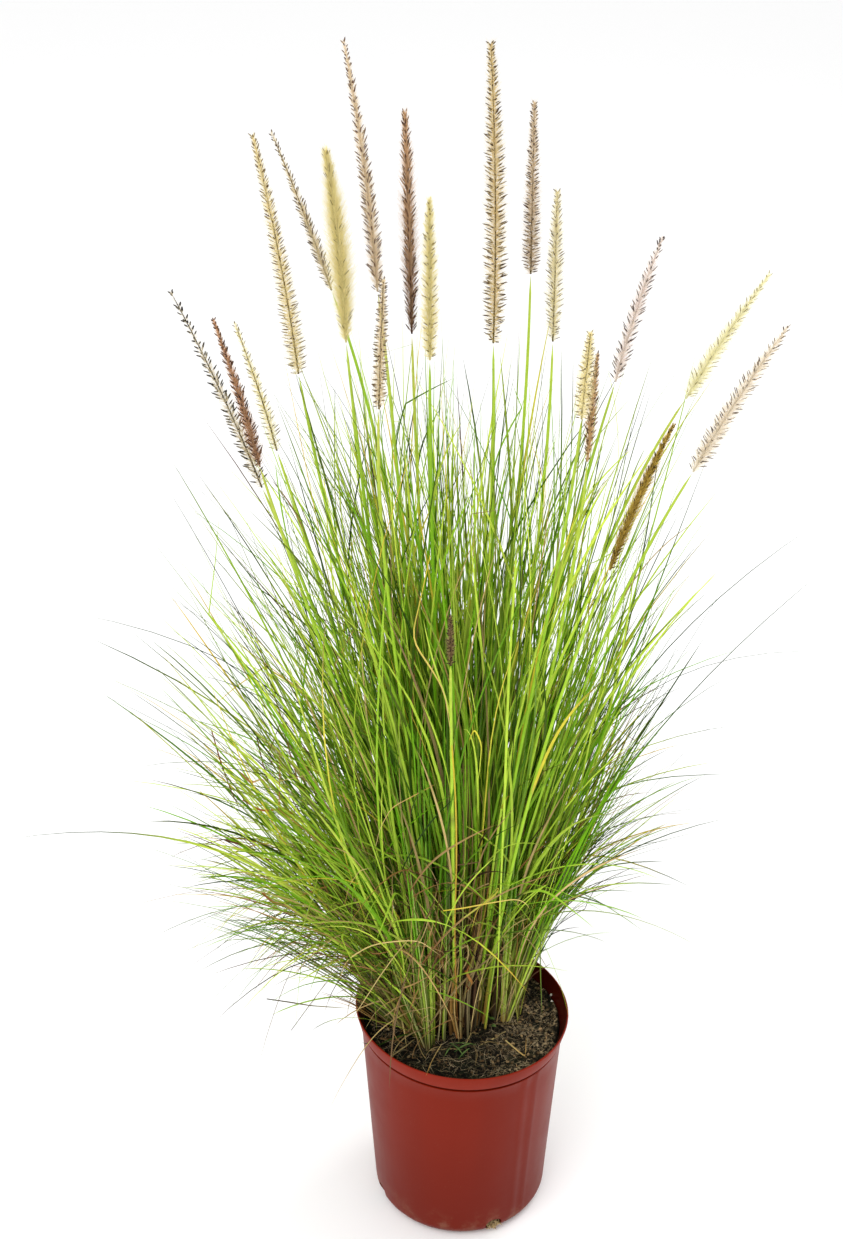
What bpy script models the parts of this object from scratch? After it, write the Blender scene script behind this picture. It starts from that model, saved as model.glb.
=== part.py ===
"""Fountain grass clump growing in a round nursery pot.

Metres, +Z up. The origin is the centre of the pot's underside, where the pot stands. -Y is the front.
The clump's blades and flower stems all follow one outward spread, so no two of them cross.
"""

import math
import random

import bmesh
import bpy
from mathutils import Vector, noise

MM = 0.001
GAP = 0.3 * MM  # between pieces that touch

# The pot
POT_HEIGHT = 182 * MM
RIM_RADIUS = 82.5 * MM
WALL_TOP_RADIUS = 78 * MM  # just under the band round the rim
WALL_FOOT_RADIUS = 68.5 * MM  # just above the rounded bottom corner
WALL = 1.6 * MM
BAND_HEIGHT = 13.5 * MM
BAND_FOOT_RADIUS = 79.4 * MM  # the band flares from here out to the rim
BAND_STEP = 0.8 * MM  # height of the slope from the band's foot in to the wall
LIP_ROUND = 0.7 * MM
CORNER_RADIUS = 12 * MM
RECESS_RADII = (40 * MM, 51 * MM)  # ring pressed into the underside
RECESS_DEPTH = 1.2 * MM
SQUEEZE = 0.032  # the rim is slightly oval: this share of its radius, none at the foot
SQUEEZE_ANGLE = math.radians(-45)
DRAIN_HOLES = 4
DRAIN_FIRST_ANGLE = math.radians(-66)
DRAIN_RADIUS = 6 * MM
DRAIN_WIDENING = 1.15
DRAIN_HEIGHT = 9 * MM
DRAIN_SEGMENTS = 12
CUTTER_DEPTH = 19 * MM
CUTTER_RADIUS_FROM_AXIS = 66 * MM  # the middle of each cutter, in the pot's rounded bottom corner
TURN_STEPS = 48
SHARP_ANGLE = math.radians(35)

# The soil
SOIL_TOP = 166 * MM
SOIL_UNEVEN = 2 * MM
SOIL_LUMPS = 60  # per metre
SOIL_MEAN = 0.35  # how far the uneven soil lies under its level part, as a share of SOIL_UNEVEN
SOIL_EDGE = 10 * MM  # the level part turns uneven over this length
SOIL_RINGS = (0, 0.8, 0.93, 1)  # where the top has rings of points, as shares of its radius

# The clump
CLUMP_CENTRE = Vector((-4 * MM, 18 * MM, 0))
CLUMP_RADIUS = 47 * MM
CROWN_HEIGHT = 22 * MM
CROWN_FOOT_RADIUS = 5.5 * MM
CROWN_TOP_RADIUS = 6.8 * MM
BLADES_PER_TUFT = 7
INNER_RING = (5, 15 * MM, math.radians(6))  # tufts, radius, first angle
OUTER_RING = (10, 39 * MM, math.radians(-54))
BLADE_WIDTH = 4.6 * MM
BLADE_THICKNESS = 1.6 * MM
BLADE_TAPER = ((0.1, 1.0), (0.32, 1.0), (0.58, 0.85), (0.8, 0.6), (1.0, 0.2))  # along it, share of the width
FIRST_LEAN = 0.65  # a blade leaves its crown at this share of its whole lean
BLADE_BEND = 0.55  # how far up the blade its arch is pulled, as a share of its length
EVEN_LEAN = 20  # degrees that the lean grows evenly from the clump's centre to its edge
EDGE_LEAN = 30  # degrees that are added close to the edge
LEAN_TO_LEFT = 11  # degrees that the edge leans over besides
LEAN_FROM_FRONT = 10  # degrees that the sides lean over to the back besides, the front twice that and the back none
MOST_LEAN = 62
# Longest blades in mm by their lean in degrees
BLADE_LENGTHS = ((0, 555), (12, 540), (17, 495), (27, 415), (38, 310), (45, 245), (55, 220), (MOST_LEAN, 212))
LENGTH_SPREAD = (0.86, 1.02)
DEAD_STALK_LENGTH = 190 * MM
DEAD_LENGTHS = (0.6, 1.0)
# Blades that stand out from the rest: direction in degrees from +X, reach from the clump's centre, height of the tip
LONG_BLADES = (
    (183, 340, 335),
    (178, 270, 525),
    (172, 220, 630),
    (196, 215, 260),
    (168, 255, 440),
    (208, 175, 238),
    (356, 265, 505),
    (8, 245, 575),
    (350, 260, 578),
    (342, 185, 380),
    (10, 200, 340),
    (262, 215, 500),
    (300, 200, 480),
    (232, 235, 455),
    (62, 250, 470),
    (95, 265, 440),
    (128, 270, 500),
)

# The flower stems
STEM_FOOT_RADIUS = 1.5 * MM
STEM_NECK_RADIUS = 0.8 * MM
STEM_RING = 22.5 * MM  # where the most upright stems stand, from the clump's centre
STEM_RING_PER_DEGREE = 0.45 * MM
STEM_POINTS = 6
STEM_FIRST_LEAN = 0.4  # a stem leaves the soil at this share of its whole lean
STEM_RISE = 0.35  # lengths of its two bends, as shares of its length
STEM_ARRIVAL = 0.3
PLUME_RINGS = 9
PLUME_BOW = 0.03
PLUME_RIDGE = 0.16  # how far the whorls of spikelets stand out from the plume's mean outline
# Outlines of plumes: width at the foot, how fast it grows from there, and how long the plume stays wide
PLUME_SHAPES = {"even": (0.72, 2.5, 3.2), "tapering": (0.8, 2.0, 1.5), "spindle": (0.42, 1.7, 2.2)}
PLUME_TAPER = 0.76  # share of the width that is gone at the tip
# For each head: its neck, where the stem ends and the plume starts, and its tip, in mm from the origin,
# its greatest width in mm, its colour and its shape
PLUMES = (
    ((-135, -20, 640), (-185, -30, 780), 14, "purple", "tapering"),
    ((-130, -70, 680), (-150, -100, 790), 12, "brown", "tapering"),
    ((-130, 35, 640), (-155, 40, 730), 11, "cream", "tapering"),
    ((-115, 50, 690), (-140, 60, 850), 14, "tan", "tapering"),
    ((-95, 100, 730), (-135, 130, 830), 11, "purple", "tapering"),
    ((-80, 10, 730), (-90, 10, 855), 14, "cream", "spindle"),
    ((-60, 25, 759), (-79, 30, 918), 13, "tan", "tapering"),
    ((-55, -80, 725), (-50, -110, 820), 11, "tan", "even"),
    ((-40, 85, 705), (-45, 110, 850), 14, "brown", "spindle"),
    ((-25, -40, 740), (-25, -60, 850), 12, "cream", "even"),
    ((15, 35, 720), (10, 40, 915), 17, "tan", "even"),
    ((40, 95, 745), (40, 120, 855), 13, "purple", "tapering"),
    ((55, 60, 711), (55, 70, 812), 11, "cream", "even"),
    ((67, -95, 727), (68, -130, 797), 12, "tan", "even"),
    ((75, -45, 674), (77, -62, 754), 11, "brown", "spindle"),
    ((95, 20, 700), (120, 20, 800), 12, "purple", "even"),
    ((145, 50, 675), (195, 60, 760), 12, "cream", "tapering"),
    ((145, -20, 655), (195, -30, 760), 13, "purple", "even"),
    ((90, -80, 615), (120, -110, 730), 12, "brown", "spindle"),
    ((-10, -100, 555), (-10, -140, 615), 8, "brown", "spindle"),
)
COLOURS = {
    "pot_plastic": ((0.27, 0.035, 0.020), 0.38),
    "potting_soil": ((0.022, 0.018, 0.012), 0.95),
    "leaf_green": ((0.14, 0.30, 0.025), 0.5),
    "dead_leaf": ((0.22, 0.12, 0.06), 0.8),
    "stem_green": ((0.16, 0.30, 0.05), 0.5),
    "plume_tan": ((0.38, 0.26, 0.13), 0.8),
    "plume_cream": ((0.52, 0.45, 0.22), 0.8),
    "plume_brown": ((0.17, 0.07, 0.04), 0.8),
    "plume_purple": ((0.27, 0.19, 0.19), 0.8),
}


def material(name):
    """The material of this name, made the first time it is asked for."""
    found = bpy.data.materials.get(name)
    if found:
        return found
    colour, roughness = COLOURS[name]
    made = bpy.data.materials.new(name)
    made.use_nodes = True
    shader = made.node_tree.nodes["Principled BSDF"]
    shader.inputs["Base Color"].default_value = (*colour, 1)
    shader.inputs["Roughness"].default_value = roughness
    shader.inputs["Metallic"].default_value = 0
    return made


def add_object(name, data, material_name, collection):
    thing = bpy.data.objects.new(name, data)
    data.materials.append(material(material_name))
    collection.objects.link(thing)
    return thing


def outward(angle):
    return Vector((math.cos(angle), math.sin(angle), 0))


# --- pot and soil ---


def arc(centre, radius, start, end, steps):
    """Points on an arc in the plane of a profile, angles in degrees."""
    angles = [math.radians(start + (end - start) * i / steps) for i in range(steps + 1)]
    return [(centre[0] + radius * math.cos(a), centre[1] + radius * math.sin(a)) for a in angles]


def pot_profile():
    """From the axis along the inner floor, up the inside, over the rim and down the outside to the axis."""
    corner = (WALL_FOOT_RADIUS - CORNER_RADIUS, CORNER_RADIUS)
    band_foot = POT_HEIGHT - BAND_HEIGHT
    inside = [(0, WALL)]
    inside += arc(corner, CORNER_RADIUS - WALL, -90, 0, 3)
    inside += [
        (WALL_TOP_RADIUS - WALL, band_foot),
        (RIM_RADIUS - WALL, POT_HEIGHT - LIP_ROUND / 2),
    ]
    outside = [
        (RIM_RADIUS - LIP_ROUND, POT_HEIGHT),
        (RIM_RADIUS, POT_HEIGHT - LIP_ROUND),
        (BAND_FOOT_RADIUS, band_foot),
        (WALL_TOP_RADIUS, band_foot - BAND_STEP),
    ]
    outside += arc(corner, CORNER_RADIUS, 0, -90, 4)
    inner, outer = RECESS_RADII
    outside += [
        (outer, 0),
        (outer - RECESS_DEPTH, RECESS_DEPTH),
        (inner + RECESS_DEPTH, RECESS_DEPTH),
        (inner, 0),
        (0, 0),
    ]
    return inside + outside


def soil_profile():
    """From the axis across the top, down the side and back along the floor to the axis."""
    side = WALL_TOP_RADIUS - WALL - GAP
    slope = (WALL_TOP_RADIUS - WALL_FOOT_RADIUS) / (POT_HEIGHT - BAND_HEIGHT - CORNER_RADIUS)
    top_side = side - (POT_HEIGHT - BAND_HEIGHT - SOIL_TOP) * slope
    return [(top_side * ring, SOIL_TOP) for ring in SOIL_RINGS] + [
        (WALL_FOOT_RADIUS - WALL - GAP, CORNER_RADIUS),
        (WALL_FOOT_RADIUS - CORNER_RADIUS, WALL + GAP),
        (0, WALL + GAP),
    ]


def turned_mesh(name, profile):
    """A closed mesh made by turning a profile round Z."""
    outline = bpy.data.meshes.new(name + "_profile")
    edges = [(i, i + 1) for i in range(len(profile) - 1)]
    outline.from_pydata([(r, 0, z) for r, z in profile], edges, [])
    guide = bpy.data.objects.new(name + "_profile", outline)
    bpy.context.scene.collection.objects.link(guide)
    screw = guide.modifiers.new("turn", "SCREW")
    screw.steps = screw.render_steps = TURN_STEPS
    screw.use_merge_vertices = True
    screw.merge_threshold = 0.01 * MM
    bpy.context.view_layer.update()
    evaluated = guide.evaluated_get(bpy.context.evaluated_depsgraph_get())
    mesh = bpy.data.meshes.new_from_object(evaluated)
    mesh.name = name
    bpy.data.objects.remove(guide)
    bpy.data.meshes.remove(outline)
    return mesh


def squeeze(mesh):
    """Makes a turned mesh slightly oval, more towards the rim."""
    for vertex in mesh.vertices:
        angle = math.atan2(vertex.co.y, vertex.co.x)
        share = SQUEEZE * (vertex.co.z / POT_HEIGHT) ** 2
        factor = 1 + share * math.cos(2 * (angle - SQUEEZE_ANGLE))
        vertex.co.x *= factor
        vertex.co.y *= factor


def drain_hole_cutter(index, cutters):
    angle = DRAIN_FIRST_ANGLE + index * math.tau / DRAIN_HOLES
    place = outward(angle) * CUTTER_RADIUS_FROM_AXIS
    place.z = DRAIN_HEIGHT
    mesh = bpy.data.meshes.new(f"drain_hole_{index + 1}")
    shape = bmesh.new()
    bmesh.ops.create_cone(
        shape,
        cap_ends=True,
        segments=DRAIN_SEGMENTS,
        radius1=DRAIN_RADIUS,
        radius2=DRAIN_RADIUS,
        depth=CUTTER_DEPTH,
    )
    bmesh.ops.scale(shape, vec=(1, DRAIN_WIDENING, 1), verts=shape.verts)
    shape.to_mesh(mesh)
    shape.free()
    cutter = bpy.data.objects.new(mesh.name, mesh)
    cutter.location = place
    cutter.rotation_euler = (0, math.radians(90), angle)
    cutter.hide_render = True
    cutter.display_type = "WIRE"
    cutters.objects.link(cutter)
    return cutter


def make_pot(parts, cutters):
    mesh = turned_mesh("pot", pot_profile())
    squeeze(mesh)
    mesh.shade_smooth()
    mesh.set_sharp_from_angle(angle=SHARP_ANGLE)
    pot = add_object("pot", mesh, "pot_plastic", parts)
    for index in range(DRAIN_HOLES):
        cut = pot.modifiers.new(f"drain_hole_{index + 1}", "BOOLEAN")
        cut.operation = "DIFFERENCE"
        cut.solver = "EXACT"
        cut.object = drain_hole_cutter(index, cutters)


def soil_height(place):
    """The soil is level under the clump and uneven round it."""
    away = (Vector((place.x, place.y, 0)) - CLUMP_CENTRE).length - CLUMP_RADIUS - CROWN_FOOT_RADIUS
    share = min(max(away / SOIL_EDGE, 0), 1)
    return SOIL_TOP + SOIL_UNEVEN * share * (noise.noise(place * SOIL_LUMPS) - SOIL_MEAN)


def make_soil(parts):
    mesh = turned_mesh("soil", soil_profile())
    squeeze(mesh)
    for vertex in mesh.vertices:
        if abs(vertex.co.z - SOIL_TOP) < GAP:
            vertex.co.z = soil_height(vertex.co)
    mesh.shade_smooth()
    mesh.set_sharp_from_angle(angle=SHARP_ANGLE)
    add_object("soil", mesh, "potting_soil", parts)


# --- how the clump spreads ---


def foot_of(place):
    """How far out a foot stands, 0 at the clump's centre and 1 at its edge, and in which direction."""
    away = Vector((place.x, place.y, 0)) - CLUMP_CENTRE
    return away.length / CLUMP_RADIUS, math.atan2(away.y, away.x)


def lean(place):
    """Which way and how far, in radians, a blade leans whose foot stands there."""
    share, angle = foot_of(place)
    way = outward(angle) * (EVEN_LEAN * share + EDGE_LEAN * share**3)
    way += Vector((-LEAN_TO_LEFT, LEAN_FROM_FRONT * (1 - math.sin(angle)), 0)) * share**2
    return math.atan2(way.y, way.x), math.radians(min(way.length, MOST_LEAN))


def blade_length(tilt):
    """Length of the longest blades with this lean in radians."""
    degrees = math.degrees(tilt)
    for (low, longer), (high, shorter) in zip(BLADE_LENGTHS, BLADE_LENGTHS[1:]):
        if degrees <= high:
            break
    return (longer + (shorter - longer) * (degrees - low) / (high - low)) * MM


def direction(angle, tilt):
    return outward(angle) * math.sin(tilt) + Vector((0, 0, math.cos(tilt)))


def bezier(points, t):
    """The point at t on the Bezier curve with these control points."""
    points = list(points)
    while len(points) > 1:
        points = [a.lerp(b, t) for a, b in zip(points, points[1:])]
    return points[0]


# --- leaf tufts ---


class Blade:
    """One blade: the face of the crown that it grows from, that face's corner in the middle of the crown,
    where it stands and where its tip reaches."""

    def __init__(self, face, inner, dead):
        self.face = face
        self.inner = inner
        self.foot = face.calc_center_median()
        self.way = direction(*lean(self.foot))
        self.dead = dead
        self.tip = None

    def arch(self, chance):
        """Control points of the blade's centre line."""
        start = self.face.calc_center_median()
        angle, tilt = lean(start)
        length = blade_length(tilt) * chance.uniform(*LENGTH_SPREAD)
        if self.dead:
            length = DEAD_STALK_LENGTH * chance.uniform(*DEAD_LENGTHS)
        tip = self.tip or start + direction(angle, tilt) * length
        bend = direction(angle, tilt * FIRST_LEAN) * (tip - start).length * BLADE_BEND
        return start, start + bend, tip


class Tuft:
    """A tiller: a crown of sheaths that stands on the soil, and the blades that grow from its top."""

    def __init__(self, name, place, dead=False):
        self.name = name
        self.dead = dead
        self.shape = bmesh.new()
        bmesh.ops.create_cone(
            self.shape,
            cap_ends=True,
            cap_tris=True,
            segments=BLADES_PER_TUFT,
            radius1=CROWN_FOOT_RADIUS,
            radius2=CROWN_TOP_RADIUS,
            depth=CROWN_HEIGHT,
        )
        lift = Vector((0, 0, SOIL_TOP + GAP + CROWN_HEIGHT / 2))
        bmesh.ops.translate(self.shape, vec=place + lift, verts=self.shape.verts)
        self.shape.normal_update()
        tops = [face for face in self.shape.faces if face.normal.z > 0.9]
        middle = set.intersection(*(set(face.verts) for face in tops)).pop()
        self.blades = [Blade(face, middle, dead) for face in tops]

    def lean_crown(self):
        """Moves the top of the crown the way that its blades lean."""
        for vertex in self.shape.verts:
            if vertex.co.z > SOIL_TOP + CROWN_HEIGHT / 2:
                angle, tilt = lean(vertex.co)
                vertex.co.z = SOIL_TOP + GAP
                vertex.co += direction(angle, tilt * FIRST_LEAN) * CROWN_HEIGHT

    def grow(self, parts):
        chance = random.Random(self.name)
        self.lean_crown()
        for blade in self.blades:
            grow_blade(self.shape, blade, chance)
        bmesh.ops.recalc_face_normals(self.shape, faces=self.shape.faces)
        mesh = bpy.data.meshes.new(self.name)
        self.shape.to_mesh(mesh)
        self.shape.free()
        add_object(self.name, mesh, "dead_leaf" if self.dead else "leaf_green", parts)


def grow_blade(shape, blade, chance):
    """Extrudes the blade's face along its centre line, tapering to the tip, with no twist on the way."""
    line = blade.arch(chance)
    face = blade.face
    rim = [vertex for vertex in face.verts if vertex != blade.inner]
    side = (rim[1].co - rim[0].co).normalized()
    inward = blade.inner.co - (rim[0].co + rim[1].co) / 2
    places = [(rim[0], blade.inner, rim[1]).index(vertex) for vertex in face.verts]
    for t, taper in BLADE_TAPER:
        centre = bezier(line, t)
        ahead = (centre - bezier(line, t * 0.9)).normalized()
        side = (side - ahead * side.dot(ahead)).normalized()
        across = side.cross(ahead)
        if across.dot(inward) < 0:
            across.negate()
        inward = across
        half = side * BLADE_WIDTH * taper / 2
        corners = (centre - half, centre + across * BLADE_THICKNESS * taper, centre + half)
        face = bmesh.ops.extrude_discrete_faces(shape, faces=[face])["faces"][0]
        for vertex, place in zip(face.verts, places):
            vertex.co = corners[place]


def choose_long_blades(blades):
    """Gives each long blade's tip to the free blade whose own lean points there best."""
    for degrees, reach, height in LONG_BLADES:
        tip = CLUMP_CENTRE + outward(math.radians(degrees)) * reach * MM + Vector((0, 0, height * MM))
        free = [blade for blade in blades if blade.tip is None and not blade.dead]
        best = max(free, key=lambda blade: blade.way.dot((tip - blade.foot).normalized()))
        best.tip = tip


def make_tufts(parts):
    tufts = []
    count, radius, first = INNER_RING
    places = [CLUMP_CENTRE.copy()]
    places += [CLUMP_CENTRE + outward(first + i * math.tau / count) * radius for i in range(count)]
    count, radius, first = OUTER_RING
    places += [CLUMP_CENTRE + outward(first + i * math.tau / count) * radius for i in range(count - 1)]
    for index, place in enumerate(places):
        tufts.append(Tuft(f"leaf_tuft_{index + 1:02d}", place))
    dead_place = CLUMP_CENTRE + outward(first - math.tau / count) * radius
    tufts.append(Tuft("dead_stalks", dead_place, dead=True))
    choose_long_blades([blade for tuft in tufts for blade in tuft.blades])
    for tuft in tufts:
        tuft.grow(parts)


# --- flower stems and plumes ---


def tapered_rod(name, points, radii, material_name, parts):
    """A round rod along these points, with the radius given at each."""
    curve = bpy.data.curves.new(name, "CURVE")
    curve.dimensions = "3D"
    curve.bevel_mode = "ROUND"
    curve.bevel_depth = 1
    curve.bevel_resolution = 1
    curve.use_fill_caps = True
    spline = curve.splines.new("POLY")
    spline.points.add(len(points) - 1)
    for control, point, radius in zip(spline.points, points, radii):
        control.co = (*point, 1)
        control.radius = radius
    return add_object(name, curve, material_name, parts)


def stem_line(neck, tip):
    """Control points of a flower stem, from the soil to the neck under its plume."""
    away = neck - CLUMP_CENTRE
    angle = math.atan2(away.y, away.x)
    tilt = math.atan2(math.hypot(away.x, away.y), away.z - SOIL_TOP)
    ring = STEM_RING + STEM_RING_PER_DEGREE * math.degrees(tilt)
    foot = CLUMP_CENTRE + outward(angle) * ring + Vector((0, 0, SOIL_TOP + GAP * 2))
    length = (neck - foot).length
    rise = direction(angle, tilt * STEM_FIRST_LEAN) * length * STEM_RISE
    arrive = (tip - neck).normalized() * length * STEM_ARRIVAL
    return foot, foot + rise, neck - arrive, neck


def plume_outline(shape, t):
    """Share of a plume's greatest width at t along it."""
    foot, growth, fullness = PLUME_SHAPES[shape]
    return min(foot + growth * t, 1) * (1 - PLUME_TAPER * t**fullness)


def make_flower(index, parts):
    neck, tip, width, colour, shape = PLUMES[index]
    neck = Vector(neck) * MM
    tip = Vector(tip) * MM
    line = stem_line(neck, tip)
    steps = [i / (STEM_POINTS - 1) for i in range(STEM_POINTS)]
    radii = [STEM_FOOT_RADIUS + (STEM_NECK_RADIUS - STEM_FOOT_RADIUS) * t for t in steps]
    name = f"flower_stem_{index + 1:02d}"
    tapered_rod(name, [bezier(line, t) for t in steps], radii, "stem_green", parts)
    ahead = (tip - neck).normalized()
    bow = outward(math.atan2(ahead.y, ahead.x)) * (tip - neck).length * PLUME_BOW
    axis = (neck + ahead * GAP * 2, neck.lerp(tip, 0.5) - bow, tip)
    points, radii = [], []
    for ring in range(PLUME_RINGS):
        t = ring / (PLUME_RINGS - 1)
        ridge = 1 + PLUME_RIDGE * (1 if ring % 2 else -1)
        points.append(bezier(axis, t))
        radii.append(width * MM / 2 * plume_outline(shape, t) * ridge)
    tapered_rod(f"plume_{index + 1:02d}", points, radii, f"plume_{colour}", parts)


def main():
    for thing in list(bpy.data.objects):
        bpy.data.objects.remove(thing)
    parts = bpy.data.collections.new("potted_fountain_grass")
    cutters = bpy.data.collections.new("cutters")
    bpy.context.scene.collection.children.link(parts)
    bpy.context.scene.collection.children.link(cutters)
    make_pot(parts, cutters)
    make_soil(parts)
    make_tufts(parts)
    for index in range(len(PLUMES)):
        make_flower(index, parts)


main()
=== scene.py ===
"""Potted fountain grass: the looks of its blades, flower heads, soil and pot.

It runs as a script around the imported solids, in metres, +Z up. The origin is under the middle of the pot and
-Y is the front, where the soil is bare.
"""

import math

import bpy
import numpy as np
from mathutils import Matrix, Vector, noise


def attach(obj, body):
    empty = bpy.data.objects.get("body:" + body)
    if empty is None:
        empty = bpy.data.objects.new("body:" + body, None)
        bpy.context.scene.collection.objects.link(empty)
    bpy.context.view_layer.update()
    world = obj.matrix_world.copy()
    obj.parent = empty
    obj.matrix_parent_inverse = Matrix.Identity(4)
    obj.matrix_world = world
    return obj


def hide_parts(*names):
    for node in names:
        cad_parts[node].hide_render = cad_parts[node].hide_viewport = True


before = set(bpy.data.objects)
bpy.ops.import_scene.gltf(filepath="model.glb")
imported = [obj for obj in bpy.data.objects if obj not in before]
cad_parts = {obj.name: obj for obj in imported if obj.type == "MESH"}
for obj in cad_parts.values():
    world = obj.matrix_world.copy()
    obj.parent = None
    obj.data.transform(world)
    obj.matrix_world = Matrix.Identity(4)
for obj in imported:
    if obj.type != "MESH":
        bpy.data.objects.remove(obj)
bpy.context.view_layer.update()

bl_info = {
    "name": "Potted fountain grass",
    "version": (1, 0, 0),
    "blender": (4, 5, 0),
    "location": "3D View > Sidebar > Fountain grass",
    "description": "Makes the blades, flower heads, soil and pot of a fountain grass clump around its solids",
    "category": "Add Mesh",
}

MM = 0.001
UP = np.array((0.0, 0.0, 1.0))
GOLDEN_ANGLE = math.pi * (3 - math.sqrt(5))

# The pot, as its solid has it
POT_HEIGHT = 182 * MM
RIM_RADIUS = 82.5 * MM
WALL_TOP_RADIUS = 78 * MM
WALL_FOOT_RADIUS = 68.5 * MM
WALL_RISE = 156 * MM  # of the wall, from the rounded bottom corner to the band
WALL = 1.6 * MM
BAND_HEIGHT = 13.5 * MM
BAND_FOOT_RADIUS = 79.4 * MM
CORNER_RADIUS = 12 * MM
RECESS_RADII = (40 * MM, 51 * MM)
RECESS_DEPTH = 1.2 * MM
SQUEEZE = 0.032
SQUEEZE_ANGLE = math.radians(-45)
DRAIN_HOLES = 4
DRAIN_FIRST_ANGLE = math.radians(-66)
DRAIN_RADIUS = 6 * MM
DRAIN_WIDENING = 1.15
DRAIN_HEIGHT = 9 * MM
SEAM_ANGLE = math.radians(-48)
SEAM_HALF = math.radians(4.4)  # from the middle of the seam to either of its ridges

# The soil and the clump, as their solids have them
SOIL_TOP = 166 * MM
CLUMP_CENTRE = np.array((-4.0, 18.0, 0.0)) * MM
CLUMP_RADIUS = 47 * MM
# Where the clump ends towards the front, x and y in metres: no shoot stands before this line
FRONT_EDGE = (
    np.array((-55, -50, -38, -27, -15, -2, 8, 20, 33, 46, 54)) * MM,
    np.array((5, -8, -23, -31, -26, -21, -11, -4, 4, 25, 43)) * MM,
)
# The lean in degrees: how much it grows evenly from the clump's centre to its edge, how much more close to
# the edge, how far the centre and besides it the edge lean over to the left, and the edge away from the front
EVEN_LEAN = 18
EDGE_LEAN = 24
LEAN_TO_LEFT = (4.5, 3.5)
LEAN_FROM_FRONT = 10
MOST_LEAN = 58
# Lengths in mm of the longest blades by their lean in degrees
BLADE_LENGTHS = ((0, 12, 17, 27, 38, 45, 55, 62, 85), (538, 532, 500, 425, 325, 255, 210, 195, 190))
# and by how far they lean to the right
SIDE_LENGTHS = ((-60, -50, -43, -35, -27, -22, -14, -9, -4, 6, 11, 15, 20, 25, 32, 42),
                (180, 205, 248, 318, 395, 432, 505, 555, 560, 558, 515, 432, 328, 282, 242, 210))
GAP_PLACE, GAP_WIDTH = 4 * MM, 16 * MM  # where across the clump its upper blades part, and are shorter
FIRST_LEAN = 0.6  # a shoot leaves the soil at this share of its blades' lean
BLADE_BEND = 0.5
LEAF_TUFTS = 15
FLOWERS = 20
# Blades that stand out from the rest: direction in degrees from +X, reach from the clump's centre and height
# of the tip in mm
LONG_BLADES = (
    (262, 215, 500),
    (300, 200, 480),
    (232, 235, 455),
    (62, 250, 470),
    (95, 265, 440),
    (128, 270, 500),
)


def paint(red, green, blue):
    """A colour given as it shows on a screen, 0 to 255, as the linear values that shaders take."""
    shown = np.array((red, green, blue), float) / 255
    return np.where(shown <= 0.04045, shown / 12.92, ((shown + 0.055) / 1.055) ** 2.4)


# Colours along the grass
DEEP_GREEN = paint(54, 94, 6)
LEAF_GREEN = paint(108, 172, 12)
LIME = paint(196, 228, 72)
YELLOW = paint(222, 200, 60)
STRAW = paint(214, 190, 124)
RUST = paint(162, 98, 48)
UMBER = paint(86, 58, 42)
DARK_UMBER = paint(40, 30, 18)
PALE_SHEATH = paint(186, 186, 84)
TAN_SHEATH = paint(176, 132, 66)

# --- the camera, and places that were read from the photograph ---

CAMERA_PLACE = Vector((0, -1.2, 1.2425))
CAMERA_PITCH = math.radians(30.7)
PHOTO_SIZE = (843, 1239)
FOCAL_PIXELS = 2024
POT_AXIS_PIXEL = 461.5  # column of the photograph in which the pot's axis falls
RIM_HEIGHT = 170 * MM
SENSOR = 36
BLADE_STEP, STRAW_STEP = 5, 1  # places read from the photograph are rounded to so many mm


def camera_yaw():
    """How far the camera turns to the left, so that the pot stands right of the middle."""
    distance = -CAMERA_PLACE.y * math.cos(CAMERA_PITCH)
    distance += (CAMERA_PLACE.z - RIM_HEIGHT) * math.sin(CAMERA_PITCH)
    return math.atan2((POT_AXIS_PIXEL - PHOTO_SIZE[0] / 2) / FOCAL_PIXELS * distance, -CAMERA_PLACE.y)


def placed(pixel, axis, step):
    """Where the camera sees a pixel of the photograph, in mm in whole steps. The third number of the pixel is
    its place along an axis, 1 for y and 2 for z, in mm."""
    column, row, known = pixel
    yaw = camera_yaw()
    level = math.cos(CAMERA_PITCH)
    ahead = np.array((-math.sin(yaw) * level, math.cos(yaw) * level, -math.sin(CAMERA_PITCH)))
    right = np.array((math.cos(yaw), math.sin(yaw), 0))
    way = ahead + right * (column - PHOTO_SIZE[0] / 2) / FOCAL_PIXELS
    way -= np.cross(right, ahead) * (row - PHOTO_SIZE[1] / 2) / FOCAL_PIXELS
    place = np.array(CAMERA_PLACE) + way * (known * MM - CAMERA_PLACE[axis]) / way[axis]
    return np.round(place / MM / step) * step


def by_depth(*pixels):
    return [placed(pixel, 1, STRAW_STEP) for pixel in pixels]


def by_height(*pixels):
    return [placed(pixel, 2, STRAW_STEP) for pixel in pixels]


# --- the sizes and colours that a user may change ---


class PotSettings(bpy.types.PropertyGroup):
    plastic: bpy.props.FloatVectorProperty(
        name="Plastic", description="Colour of the pot's plastic", subtype="COLOR",
        default=tuple(paint(118, 25, 2)), min=0, max=1,
    )
    groove: bpy.props.FloatProperty(
        name="Groove", description="Depth of the groove under the band round the rim", unit="LENGTH",
        default=1.3 * MM,
    )
    seam: bpy.props.FloatProperty(
        name="Seam", description="Height of the ridge where the halves of the mould met", unit="LENGTH",
        default=0.6 * MM,
    )


class SoilSettings(bpy.types.PropertyGroup):
    fibres: bpy.props.IntProperty(
        name="Fibres", description="Number of fine roots that lie on the soil", default=1300
    )
    crumbs: bpy.props.IntProperty(name="Crumbs", description="Number of crumbs of peat and bark", default=900)
    unevenness: bpy.props.FloatProperty(
        name="Unevenness", description="Height of the lumps in the soil", unit="LENGTH", default=2.6 * MM
    )


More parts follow.
